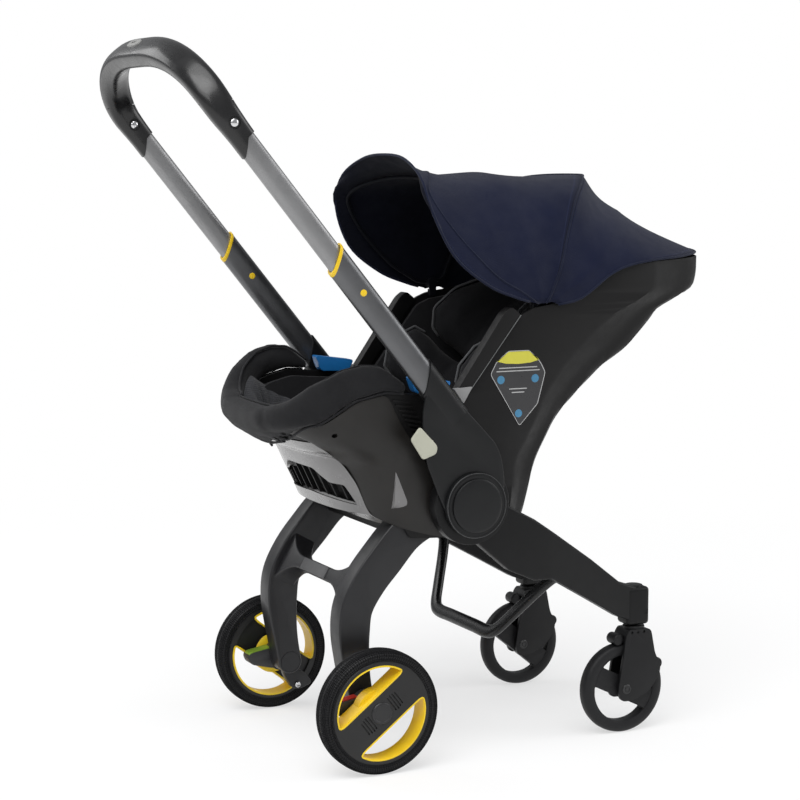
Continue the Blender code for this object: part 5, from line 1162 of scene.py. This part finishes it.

# Rails: moulded lips along the slanting edge of each side opening, each with a painted highlight in pale grey
# along that edge and a pale three-cornered belt hook at its foot. Blue guides on the rim beside the child's
# knees take the car's belt.
guide_blue = moulded("blue guide", (0.012, 0.15, 0.42), 0.34, 0.06)
hook_pale = moulded("belt hook plastic", (0.25, 0.25, 0.25), 0.42, 0.08)
RAIL = ((-0.011, 0.153), (0.0085, 0.151), (0.089, 0.255), (0.074, 0.267), (0.062, 0.258))
RAIL_EDGE = ((0.0095, 0.154), (0.0103, 0.1534), (0.0888, 0.2545), (0.088, 0.2552))
HOOK = ((0.123, 0.52), (0.138, 0.4985), (0.152, 0.5215))
GUIDE = ((-0.079, 0.176), (-0.016, 0.167), (-0.0255, 0.1504), (-0.07, 0.1523))
for side_name, side in SIDES:
    rail = rounded(at_hub(RAIL), 0.0055, 5)
    rail = slab("side_lip_" + side_name, rail, side * 0.16, side * 0.1775, 0.0026, 5)
    # A thin pale grey strip along the rail's slanting edge: a painted highlight.
    edge = slab("rail_edge_" + side_name, at_hub(RAIL_EDGE), side * 0.1766, side * 0.1782, 0.0003, 2)
    settle(edge, rail_highlight_grey, "seat", "satin_black")
    settle(rail, shell_black, "seat", "satin_black", "side_rail_" + side_name)
    corners = rounded([(AXLE_X + x, z) for x, z in HOOK], 0.002, 4)
    hook = slab("belt_hook_" + side_name, corners, side * 0.1735, side * 0.18, 0.001, 3)
    settle(hook, hook_pale, "seat", "pale_grey")
    guide = rounded(at_hub(GUIDE), 0.006, 5)
    guide = slab("blue_guide_" + side_name, guide, side * 0.1545, side * 0.1725, 0.0022, 4)
    dent = slab("dent", rounded(grown(at_hub(GUIDE), -0.0058), 0.003, 4), side * 0.1712, side * 0.18)
    carve(guide, dent)
    settle(guide, guide_blue, "seat", "blue", "belt_guide_" + side_name)

# Sticker on the right side of the shell: a printed film in the outline of a shield. It carries only plain
# shapes of its own, no writing.
film = moulded("sticker film", (0.03, 0.03, 0.032), 0.3, 0.02)
print_pale = moulded("sticker line", (0.42, 0.42, 0.42), 0.4, 0.02)
print_yellow = moulded("sticker yellow", (0.62, 0.58, 0.06), 0.35, 0.02)
print_blue = moulded("sticker blue", (0.05, 0.2, 0.35), 0.35, 0.02)
SHIELD = ((0.182, 0.536), (0.191, 0.553), (0.21, 0.568), (0.243, 0.568), (0.261, 0.551), (0.269, 0.536),
          (0.257, 0.492), (0.228, 0.462))
HEAD = ((-0.0335, 0.027), (-0.02, 0.0235), (0.0, 0.0222), (0.02, 0.0235), (0.0335, 0.027), (0.0175, 0.0396),
        (-0.0155, 0.0396))
BARS = ((0.03, 0.0165), (0.034, 0.012), (0.014, -0.013), (0.01, -0.018))
BAR_HIGH = 0.0014
SPOTS = ((-0.027, 0.001, 0.0058), (0.027, 0.001, 0.0058), (0.001, -0.047, 0.0056))
STICKER_Y = -0.1743
PRINT_BACK, PRINT_FACE = STICKER_Y - 0.00018, STICKER_Y - 0.0003
middle_x, middle_z = AXLE_X + 0.2255, 0.527
shield = [(AXLE_X + x, z) for x, z in SHIELD]
plain = rounded(shield, 0.004, 4)
back = slab("sticker", plain, STICKER_Y, STICKER_Y - 0.0002)
line = slab("sticker_line", plain, PRINT_BACK, PRINT_FACE)
carve(line, slab("core", rounded(grown(shield, -0.0011), 0.0034, 4), -0.17, -0.18))
bars = []
for wide, low in BARS:
    corners = [(-wide, low), (wide, low), (wide, low + BAR_HIGH), (-wide, low + BAR_HIGH)]
    outline = rounded([(middle_x + x, middle_z + z) for x, z in corners], 0.0005, 2)
    bars.append(slab("bar", outline, PRINT_BACK, PRINT_FACE))
band = slab("sticker_band", [(middle_x + x, middle_z + z) for x, z in HEAD], PRINT_BACK, PRINT_FACE)
spots = [slab("spot", ring((middle_x + x, middle_z + z), r, 28), PRINT_BACK, STICKER_Y - 0.00032)
         for x, z, r in SPOTS]
settle(back, film, "seat", "satin_black")
settle(joined("sticker_lines", line, *bars), print_pale, "seat", "pale_grey")
settle(band, print_yellow, "seat", "yellow")
settle(joined("sticker_spots", *spots), print_blue, "seat", "blue")

# Liner of the bucket: charcoal cloth over thin foam, all one padded piece. It lies in the shell, and its edge
# is tucked in below the shell's rim.
STITCHES = 170.0
WOVEN_ROUGH, WOVEN_GLOSS = (0.8, 0.95), 0.2


def woven(name, colour, thread=0.0009, sheen=0.18, shade=0.14, depth=0.0003, stitched=()):
    """Plain woven cloth: crossed threads, cloudy wear, soft sheen, and stitches in rows along the UVs."""
    material, nodes, links = shader(name)
    body = nodes["Principled BSDF"]
    where = nodes.new("ShaderNodeTexCoord")
    coords = where.outputs["Object"]
    cloud = ramp(nodes, links, noise(nodes, links, coords, 9, 4), 0, 1)
    darker, paler = [c * (1 - shade) for c in colour], [min(1, c * (1 + shade)) for c in colour]
    base = tint(nodes, links, cloud, darker, paler)
    threads = []
    for direction in ("X", "Y", "Z"):
        wave = nodes.new("ShaderNodeTexWave")
        wave.bands_direction = direction
        wave.inputs["Scale"].default_value = 0.314 / thread
        wave.inputs["Distortion"].default_value = 0.6
        wave.inputs["Detail"].default_value = 1.0
        links.new(coords, wave.inputs["Vector"])
        threads.append(wave.outputs["Fac"])
    height = threads[0]
    for other in threads[1:]:
        height = maths(nodes, links, "ADD", height, other)
    if stitched:
        parts = nodes.new("ShaderNodeSeparateXYZ")
        links.new(where.outputs["UV"], parts.inputs[0])
        along = maths(nodes, links, "MULTIPLY", parts.outputs[0], STITCHES)
        on = maths(nodes, links, "GREATER_THAN", maths(nodes, links, "PINGPONG", along, 0.5), 0.16)
    for row, width in stitched:
        near = maths(nodes, links, "COMPARE", parts.outputs[1], row, width)
        seam = maths(nodes, links, "MULTIPLY", near, on)
        lit = nodes.new("ShaderNodeMix")
        lit.data_type = "RGBA"
        lit.inputs[7].default_value = (*[min(1, c * 2.4 + 0.01) for c in colour], 1)
        links.new(seam, lit.inputs[0])
        links.new(base, lit.inputs[6])
        base = lit.outputs[2]
        height = maths(nodes, links, "MULTIPLY_ADD", seam, 2.5, height)
    links.new(base, body.inputs["Base Color"])
    bump = nodes.new("ShaderNodeBump")
    bump.inputs["Strength"].default_value = 0.35
    bump.inputs["Distance"].default_value = depth
    links.new(height, bump.inputs["Height"])
    links.new(bump.outputs[0], body.inputs["Normal"])
    links.new(ramp(nodes, links, noise(nodes, links, coords, 40, 3), *WOVEN_ROUGH), body.inputs["Roughness"])
    body.inputs["Sheen Weight"].default_value = sheen
    body.inputs["Sheen Roughness"].default_value = 0.5
    body.inputs["Specular IOR Level"].default_value = WOVEN_GLOSS
    return material


def stuffed(obj, cap, voxel=0.005, pressure=4.0):
    """Fills a closed pad: its skin is blown up as cloth, no point further than the cap, and then smoothed."""
    modify(obj, "REMESH", mode="VOXEL", voxel_size=voxel)
    before = [v.co.copy() for v in obj.data.vertices]
    cloth = obj.modifiers.new("cloth", "CLOTH")
    cloth.settings.quality = 5
    cloth.settings.mass = 0.25
    cloth.settings.tension_stiffness = 12
    cloth.settings.compression_stiffness = 12
    cloth.settings.bending_stiffness = 0.6
    cloth.settings.use_pressure = True
    cloth.settings.uniform_pressure_force = pressure
    cloth.settings.effector_weights.gravity = 0
    for frame_number in range(1, 21):
        bpy.context.scene.frame_set(frame_number)
    bpy.ops.object.modifier_apply(modifier=cloth.name)
    bpy.context.scene.frame_set(1)
    for vertex, old in zip(obj.data.vertices, before):
        moved = vertex.co - old
        if moved.length > cap:
            vertex.co = old + moved * (cap / moved.length)
    modify(obj, "SMOOTH", factor=0.5, iterations=5)
    return modify(obj, "SUBSURF", levels=1)


def dressed(obj, material, body, slot, *nodes):
    """As settle, for cloth, which is shaded smooth all over."""
    alone(obj)
    obj.data.materials.clear()
    obj.data.materials.append(material)
    bpy.ops.object.shade_smooth()
    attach(obj, body)
    if nodes:
        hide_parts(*nodes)
    return obj


def piping(name, path, radius, steps=10):
    circle = [(radius * cos(2 * pi * k / steps), radius * sin(2 * pi * k / steps)) for k in range(steps)]
    path = [Vector(p) for p in path]
    rows, up = [], None
    for i, here in enumerate(path):
        run = heading(path, i)
        if up is None:
            up = Vector((0, 1, 0)) if abs(run.y) < 0.9 else Vector((1, 0, 0))
        up = (up - run * up.dot(run)).normalized()
        across = run.cross(up)
        rows.append([here + up * u + across * v for u, v in circle])
    return solid(name, rows)


charcoal = woven("charcoal cloth", (0.0125, 0.0125, 0.014), sheen=0.1)
lining_mesh = woven("open mesh cloth", (0.05, 0.051, 0.056), thread=0.0026, depth=0.0012, sheen=0.12)
bound_edge = woven("edge binding", (0.014, 0.014, 0.016), thread=0.0012, sheen=0.1)


def lined(depth):
    """The levels of the shell's inside, drawn in by the depth."""
    shares = (0.0, 1.0, -0.4, -0.7, -1.0, -1.0, -0.7)
    return [tuple(value + depth * share for value, share in zip(level, shares)) for level in inner_levels]


outer_levels = lined(0.004)
outer_levels[0] = (outer_levels[0][0] + 0.0004,) + outer_levels[0][1:]
hollow = lined(0.012)
hollow = [(hollow[0][0] + 0.012,) + hollow[0][1:]] + hollow[2:]
liner = seat_loft("liner", eased(outer_levels, 72, 0.003))
carve(liner, seat_loft("hollow", eased(hollow, 72, 0.006)), over_rim(0.009))
soften(liner, 0.003, 4, 42)
dressed(liner, charcoal, "seat", "charcoal_fabric", "seat_liner")
liner.name = "liner_pad"

# Head and body supports: two stuffed inserts of charcoal cloth that lie on the liner, each a soft back with a
# wing up both sides, edged in grey piping.
piping_grey = woven("grey piping", (0.09, 0.092, 0.096), thread=0.001)
RISE = radians(47)


def on_back(t, m):
    """A point t up the backrest and m out from it."""
    return HUB.x + 0.085 + t * cos(RISE) - m * sin(RISE), HUB.y - 0.02 + t * sin(RISE) + m * cos(RISE)


def wing_section(t, seat, base, top, outer, thick, lean):
    inner = outer - thick
    half = [
        (0.0, seat), (outer * 0.5, seat + 0.0002), (outer * 0.8, seat + 0.0036), (outer * 0.95, base + 0.02),
        (outer, min(base + 0.06, top - 0.028)), (outer + lean * 0.6, top - 0.018),
        (outer + lean - thick * 0.18, top - 0.004), (outer + lean - thick * 0.5, top),
        (inner + lean + thick * 0.12, top - 0.006), (inner + lean * 0.6, top - 0.022),
        (inner, min(base + 0.072, top - 0.03)), (inner * 0.92, min(base + 0.046, top - 0.044)),
        (inner * 0.66, base + 0.03), (0.0, base + 0.024),
    ]
    whole = half + [(-y, m) for y, m in reversed(half[1:-1])]
    return [Vector((on_back(t, m)[0], y, on_back(t, m)[1])) for y, m in whole]


def wing_pad(name, sections, count):
    """A closed insert through sections up the backrest, and the rows of points that it is laid on."""
    known = [Vector(s) for s in sections]
    rows = []
    for i in range(count):
        share = i / (count - 1) * (len(known) - 1)
        low = min(int(share), len(known) - 2)
        mixed = known[low].lerp(known[low + 1], share - low)
        rows.append(wing_section(*mixed))
    return solid(name, rows), rows


BODY_SECTIONS = (
    (0.08, 0.0271, 0.054, 0.15, 0.124, 0.018, 0.002), (0.085, 0.0276, 0.053, 0.172, 0.128, 0.026, 0.003),
    (0.105, 0.0309, 0.052, 0.184, 0.13, 0.03, 0.004), (0.14, 0.0382, 0.052, 0.184, 0.13, 0.03, 0.004),
    (0.162, 0.037, 0.052, 0.174, 0.129, 0.027, 0.003), (0.168, 0.0366, 0.053, 0.15, 0.125, 0.018, 0.002),
)
HEAD_SECTIONS = (
    (0.176, 0.036, 0.052, 0.128, 0.128, 0.018, 0.002), (0.181, 0.0357, 0.051, 0.15, 0.132, 0.028, 0.003),
    (0.205, 0.0332, 0.05, 0.168, 0.134, 0.033, 0.004), (0.25, 0.0279, 0.046, 0.162, 0.134, 0.033, 0.003),
    (0.29, 0.0174, 0.04, 0.14, 0.13, 0.03, 0.002), (0.31, 0.0161, 0.038, 0.124, 0.126, 0.026, 0.0),
    (0.316, 0.0159, 0.039, 0.108, 0.122, 0.017, 0.0),
)
WING_EDGES = (7, 19)
for name, node, sections in (("body_insert", "body_support", BODY_SECTIONS),
                             ("head_insert", "head_support", HEAD_SECTIONS)):
    pad, rows = wing_pad(name, sections, 26)
    modify(pad, "DISPLACE", strength=-0.0012, mid_level=0.0)
    stuffed(pad, 0.0045, 0.0048)
    dressed(pad, charcoal, "seat", "charcoal_fabric", node)
    edges = [piping("edge", curve([row[index] for row in rows[1:-1]], 40), 0.0017) for index in WING_EDGES]
    dressed(joined(name + "_piping", *edges), piping_grey, "seat", "charcoal_fabric")

# Foot cover: a padded charcoal boot that wraps the rim of the foot end, with piping round the opening and
# along its lower edge, where elastic draws it in. Inside it an open mesh falls in folds to the liner.
COVER_CROWN = ((-0.3, 0.124), (-0.255, 0.129), (-0.236, 0.144), (-0.215, 0.169), (-0.18, 0.189),
               (-0.15, 0.1955), (-0.125, 0.194), (-0.095, 0.176), (-0.08, 0.164))


def reading(pairs, x):
    for (x0, v0), (x1, v1) in zip(pairs, pairs[1:]):
        if x <= x1:
            return v0 + (v1 - v0) * max(0.0, (x - x0) / (x1 - x0))
    return pairs[-1][1]


def outwards(run, x, y):
    """The level direction square to a run and away from the seat's middle."""
    out = Vector((-run.y, run.x))
    return -out if out.dot(Vector((x + 0.1, y))) < 0 else out


_, front, crease, _, _, half, _ = level_at(SHELL_LEVELS, 0.14)
nose = min(NOSE_MOST, (crease - front) * NOSE_SHARE)
side_line = [(front, 0.0), (front + 0.0003, half * 0.2), (front + 0.0017, half * 0.4)]
for x in (-0.245, -0.24, -0.23, -0.218, -0.205, -0.193, -0.181, -0.16, -0.14, -0.117, -0.098, -0.085):
    left = max(0.0, 1 - (x - front) / nose)
    side_line.append((x, half * (1 - left ** ROUND) ** (1 / ROUND)))
line = [(p.x, p.y) for p in curve([(x, -y) for x, y in reversed(side_line[1:])] + side_line, 90)]
rows = []
for i, (x, y) in enumerate(line):
    before, after = line[max(i - 1, 0)], line[min(i + 1, len(line) - 1)]
    out = outwards(Vector((after[0] - before[0], after[1] - before[1])).normalized(), x, y)
    ahead = max(0.0, -out.x)
    bulge = 0.0035 + 0.011 * ahead ** 1.6
    skirt = min(1.0, max(0.0, (-0.206 - x) / 0.044))
    skirt = 0.045 * skirt * skirt * (3 - 2 * skirt) * min(1.15, max(0.3, 0.75 + 3.5 * y))
    crown = reading(COVER_CROWN, x)
    ends = min(1.0, 0.6 + 0.4 * min(i, len(line) - 1 - i) / 4)
    low = [bulge * 0.9 * (1 - u) - skirt * 1.333 * u ** 1.3 + 0.0012 * u for u in (1.0, 0.66, 0.33)]
    section = (
        (low[0] - 0.009, 0.0, skirt), (low[0], 0.0, skirt), (low[1], 0.0, skirt * 0.66),
        (low[2], 0.0, skirt * 0.33), (bulge * 0.9, 0.12, 0.0), (bulge, 0.45, 0.0), (bulge * 0.9, 0.75, 0.0),
        (bulge * 0.45 * ends, 0.95, 0.0), (-0.005, 1.0, 0.0), (-0.013 * ends - 0.001, 0.93, 0.0),
        (-0.0165 * ends, 0.65, 0.0), (-0.0155 * ends, 0.3, 0.0), (-0.012 * ends, 0.0, 0.0),
        (low[2] - 0.0085, 0.0, skirt * 0.33), (low[1] - 0.0085, 0.0, skirt * 0.66),
    )
    row = []
    for d, share, drop in section:
        at = x + out.x * d
        foot = reading(RIM_LINE, x if drop else at) + 0.0012
        rise = (max(crown, foot + 0.008) - foot) * (0.8 + 0.2 * (ends - 0.6) / 0.4)
        row.append(Vector((HUB.x + at, y + out.y * d, HUB.y + foot + rise * share - drop)))
    rows.append(row)
cover = solid("boot_cover", rows)
stuffed(cover, 0.003, 0.0046)
dressed(cover, charcoal, "seat", "charcoal_fabric", "foot_cover")
edges = []
for index, away in ((9, 0.0004), (1, 0.0012)):
    trail = []
    for row in rows[1:-1]:
        centre = sum(row, Vector()) / len(row)
        trail.append(row[index] + (row[index] - centre).normalized() * away)
    edges.append(piping("edge", curve(trail, 120), 0.0016))
dressed(joined("boot_cover_piping", *edges), bound_edge, "seat", "charcoal_fabric")
falls = []
for i, (x, y) in enumerate(line):
    if x > -0.115:
        continue
    before, after = line[i - 1], line[i + 1]
    out = outwards(Vector((after[0] - before[0], after[1] - before[1])).normalized(), x, y)
    ahead = max(0.0, -out.x)
    high, low = min(reading(COVER_CROWN, x) - 0.022, 0.15 - 0.5 * (x + 0.195)), 0.08
    fall = []
    for k in range(15):
        t = k / 14
        d = -0.0195 - (0.0065 + 0.026 * ahead) * t ** 0.6
        d -= 0.003 * (1 - (1 - t) ** 3) * (1 + sin(i * 1.55 + 1.2 * sin(t * 3.0 + i * 0.21)))
        fall.append((HUB.x + x + out.x * d, y + out.y * d, HUB.y + high + (low - high) * t))
    falls.append(fall)
mesh = modify(skin("foot_mesh", falls), "SUBSURF", levels=2)
modify(mesh, "SOLIDIFY", thickness=0.001)
dressed(mesh, lining_mesh, "seat", "charcoal_fabric")

# Harness: two black woven shoulder straps, and a moulded buckle with a red button on a short crotch strap.
ACROSS = Vector((0, 1, 0))
STRAP = ((0.3, 0.071, 0.04), (0.25, 0.0779, 0.04), (0.205, 0.0818, 0.04), (0.165, 0.0843, 0.04),
         (0.12, 0.0843, 0.038), (0.085, 0.0859, 0.036), (0.055, 0.092, 0.033), (0.02, 0.108, 0.027))
webbing = woven("harness webbing", (0.011, 0.011, 0.0125), thread=0.0016, depth=0.0005, sheen=0.1)


def band(name, path, width, thick):
    """A flat woven band whose width lies across the seat, with thin rounded edges."""
    path = [Vector(p) for p in path]
    section = [(-1, -0.5), (-0.94, -1), (-0.5, -1), (0, -1), (0.5, -1), (0.94, -1), (1, -0.5),
               (1, 0.5), (0.94, 1), (0.5, 1), (0, 1), (-0.5, 1), (-0.94, 1), (-1, 0.5)]
    rows = []
    for i, here in enumerate(path):
        run = heading(path, i)
        wide = (ACROSS - run * ACROSS.dot(run)).normalized()
        up = run.cross(wide)
        rows.append([here + wide * a * width / 2 + up * b * thick / 2 for a, b in section])
    return solid(name, rows)


for side_name, side in SIDES:
    points = [(on_back(t, m)[0], side * y, on_back(t, m)[1]) for t, m, y in STRAP]
    strap = band("shoulder_webbing_" + side_name, curve(points, 60), 0.0376, 0.003)
    dressed(strap, webbing, "seat", "webbing", "shoulder_strap_" + side_name)

buckle_black = moulded("buckle plastic", (0.014, 0.014, 0.015), 0.34, 0.08)
buckle_red = moulded("buckle button", (0.48, 0.022, 0.016), 0.34, 0.05)
BUCKLE = Vector((HUB.x - 0.02, HUB.y + 0.095))
x, z = BUCKLE
shape = [(x - 0.008, z - 0.026), (x + 0.007, z - 0.026), (x + 0.009, z + 0.02), (x + 0.004, z + 0.028),
         (x - 0.006, z + 0.028), (x - 0.01, z + 0.018)]
buckle = slab("buckle_body", rounded(shape, 0.004, 5), -0.022, 0.022, 0.003, 4)
crotch = band("crotch_webbing", curve([(x, 0, z - 0.023), (x + 0.002, 0, HUB.y + 0.015),
                                       (x + 0.004, 0, HUB.y - 0.0262)], 24), 0.034, 0.003)


def lengthwise(name, radius, x0, x1):
    """A round piece along X through the middle of the buckle's face."""
    circle = ring((0.0, z - 0.002), radius, 40)
    return solid(name, [[(x + at, y, up) for y, up in circle] for at in (x0, (x0 + x1) / 2, x1)])


carve(buckle, lengthwise("room", 0.0088, -0.0142, -0.003))
settle(buckle, buckle_black, "seat", "satin_black", "buckle")
dressed(crotch, webbing, "seat", "webbing")
button = soften(lengthwise("buckle_red_button", 0.0084, -0.0108, -0.0066), 0.001, 3)
settle(button, buckle_red, "buckle_button", "red", "buckle_button")

# Canopy frame: a peg on each side of the shell and two thin black bows, the front one under the visor's seam
# and the middle one under the fold.
ARCHES = (
    ((0.102, 0.178, 0.2728), (0.081, 0.1785, 0.279), (0.037, 0.179, 0.297), (-0.0135, 0.177, 0.337),
     (-0.0415, 0.164, 0.397), (-0.0445, 0.135, 0.4424), (-0.0395, 0.07, 0.4694), (-0.0365, 0.0, 0.4754)),
    ((0.1155, 0.1785, 0.2695), (0.0885, 0.1785, 0.2874), (0.0545, 0.178, 0.3064), (0.0215, 0.176, 0.3364),
     (-0.0145, 0.168, 0.3774), (-0.0365, 0.145, 0.4224), (-0.005, 0.08, 0.4474), (0.0185, 0.0, 0.4504)),
    ((0.1195, 0.1785, 0.27), (0.115, 0.178, 0.3), (0.105, 0.172, 0.34), (0.095, 0.15, 0.395),
     (0.1, 0.1, 0.438), (0.1105, 0.0, 0.4494)),
    ((0.1275, 0.1785, 0.27), (0.1355, 0.178, 0.2814), (0.1525, 0.175, 0.3184), (0.1685, 0.165, 0.3624),
     (0.1925, 0.145, 0.4114), (0.235, 0.09, 0.439), (0.2765, 0.0, 0.4444)),
    ((0.1375, 0.1785, 0.2715), (0.16, 0.178, 0.285), (0.2, 0.176, 0.312), (0.232, 0.168, 0.346),
     (0.27, 0.13, 0.375), (0.31, 0.07, 0.389), (0.3355, 0.0, 0.3934)),
    ((0.1475, 0.1785, 0.2674), (0.1805, 0.1785, 0.2734), (0.2065, 0.1785, 0.2894), (0.2315, 0.1785, 0.3074),
     (0.2625, 0.1785, 0.3194), (0.3055, 0.178, 0.3264), (0.36, 0.16, 0.3292), (0.41, 0.12, 0.3322),
     (0.434, 0.06, 0.3342), (0.44, 0.0, 0.3346)),
)
PIVOT = HUB + Vector((0.1185, 0.279))
HEAD_SPACE = Vector((HUB.x + 0.12, 0, HUB.y + 0.26))
SPREAD, CREST = 65, 32


def arch(index):
    half = [(HUB.x + x, y, HUB.y + z) for x, y, z in ARCHES[index]]
    return curve(half + [(x, -y, z) for x, y, z in reversed(half[:-1])], SPREAD)


def drawn_in(point, by):
    """A point moved towards the middle of the canopy."""
    return point - (point - HEAD_SPACE).normalized() * by


edges = [arch(i) for i in range(6)]
bow_black = moulded("bow plastic", (0.003, 0.0035, 0.006), 0.7, 0.06, specular=0.15)
for name, node, body, index, y in (("front_bow", "canopy_front_bow", "canopy_front", 1, 0.1725),
                                   ("fold_bow", "canopy_mid_bow", "canopy_mid", 3, 0.1662)):
    inner = []
    for point in edges[index]:
        moved = drawn_in(point, 0.0105)
        moved.y = max(-y, min(y, moved.y))
        if (moved - Vector((PIVOT.x, moved.y, PIVOT.y))).length > 0.02 or abs(moved.y) < y - 0.01:
            inner.append(moved)
    ends = [Vector((PIVOT.x, y, PIVOT.y)), Vector((PIVOT.x, -y, PIVOT.y))]
    rod = piping("rod", curve(ends[:1] + inner[::2] + ends[1:], 90), 0.0028, 14)
    eyes = []
    for at in (y, -y):
        eye = slab("eye", ring(PIVOT, 0.0075, 40), at - 0.0012, at + 0.0012, 0.0004, 2)
        for piece in (eye, rod):
            carve(piece, slab("hole", ring(PIVOT, 0.0033, 24), at - 0.01, at + 0.01))
        eyes.append(eye)
    settle(joined(name, rod, *eyes), bow_black, body, "satin_black", node)
for side_name, _ in SIDES:
    peg_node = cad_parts["canopy_pivot_" + side_name]
    peg_node.data.materials.clear()
    peg_node.data.materials.append(bow_black)

# Canopy cloth: navy polyester over both bows, lined in near black, in a front sheet and a rear one that meet
# at the fold bow. Two rows of stitches run behind the visor's rim, and piping binds rim, seams and hem.
CLOTH_HALF, CLOTH_THICK = 0.1795, 0.0014
navy = woven("navy cloth", (0.003, 0.0055, 0.0225), thread=0.0007, sheen=0.08, shade=0.1,
             stitched=((0.045, 0.0016), (0.072, 0.0016), (0.965, 0.0016)))
navy_rear = woven("navy cloth, rear", (0.003, 0.0055, 0.0225), thread=0.0007, sheen=0.08, shade=0.1,
                  stitched=((0.03, 0.0016), (0.96, 0.0016)))
navy_dark = woven("canopy lining", (0.0012, 0.002, 0.0075), thread=0.0009, sheen=0.03)


def stretched(arches, counts, sags):
    """Rows of cloth over a few arches, drawn in a little between them and pinched where each bow holds it."""
    rows = []
    for first, (count, sag) in enumerate(zip(counts, sags)):
        for k in range(count + (1 if first == len(counts) - 1 else 0)):
            share = k / count
            row = []
            for j in range(SPREAD):
                points = [arches[max(0, min(len(arches) - 1, first + d))][j] for d in (-1, 0, 1, 2)]
                if first == 0:
                    points[0] = 2 * points[1] - points[2]
                if first == len(counts) - 1:
                    points[3] = 2 * points[2] - points[1]
                width = sin(pi * j / (SPREAD - 1)) ** 0.7
                at = drawn_in(between(*points, share), sag * sin(pi * share) * width)
                at.y = max(-CLOTH_HALF, min(CLOTH_HALF, at.y))
                row.append(at)
            rows.append(row)
    return rows


def cloth(name, rows, outside, inside):
    """The sheet through the rows, its lining a little inside it and its edges closed."""
    obj = skin(name, rows)
    alone(obj)
    middle = obj.data.polygons[len(obj.data.polygons) // 2]
    if middle.normal.dot(middle.center - HEAD_SPACE) < 0:
        bpy.ops.object.mode_set(mode="EDIT")
        bpy.ops.mesh.select_all(action="SELECT")
        bpy.ops.mesh.flip_normals()
        bpy.ops.object.mode_set(mode="OBJECT")
    obj.data.materials.clear()
    obj.data.materials.append(outside)
    obj.data.materials.append(inside)
    modify(obj, "SOLIDIFY", thickness=CLOTH_THICK, offset=-1, material_offset=1)
    bpy.ops.object.shade_smooth()
    return obj


front_rows = stretched([edges[0], edges[1], edges[2], edges[3]], (6, 10, 10), (0.0, 0.0035, 0.005))
rear_rows = stretched([edges[3], edges[4], edges[5]], (12, 12), (0.0045, 0.003))
front = cloth("canopy_front_cloth", front_rows, navy, navy_dark)
rear = cloth("canopy_rear_cloth", rear_rows, navy_rear, navy_dark)
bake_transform(front)
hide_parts("canopy_visor", "canopy_front_panel")
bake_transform(rear)
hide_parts("canopy_rear_panel")

rim = piping("rim", [drawn_in(p, 0.0006) for p in edges[0]], 0.0019)
fold = piping("fold", [drawn_in(p, -0.0002) for p in edges[3]], 0.0016)
hem = piping("hem", [drawn_in(p, 0.0006) for p in edges[5]], 0.0017)
visor_seam = piping("visor_seam", [drawn_in(p, -0.0001) for p in edges[1]], 0.0012)
navy_edge = woven("navy piping", (0.005, 0.0078, 0.024), thread=0.0009, sheen=0.08)
rim = dressed(joined("canopy_rim_piping", rim, visor_seam), navy_edge, "canopy_front", "navy_fabric")
dressed(fold, navy_edge, "canopy_mid", "navy_fabric")
fold.name = "canopy_fold_piping"
dressed(hem, navy_edge, "seat", "navy_fabric")
hem.name = "canopy_hem_piping"
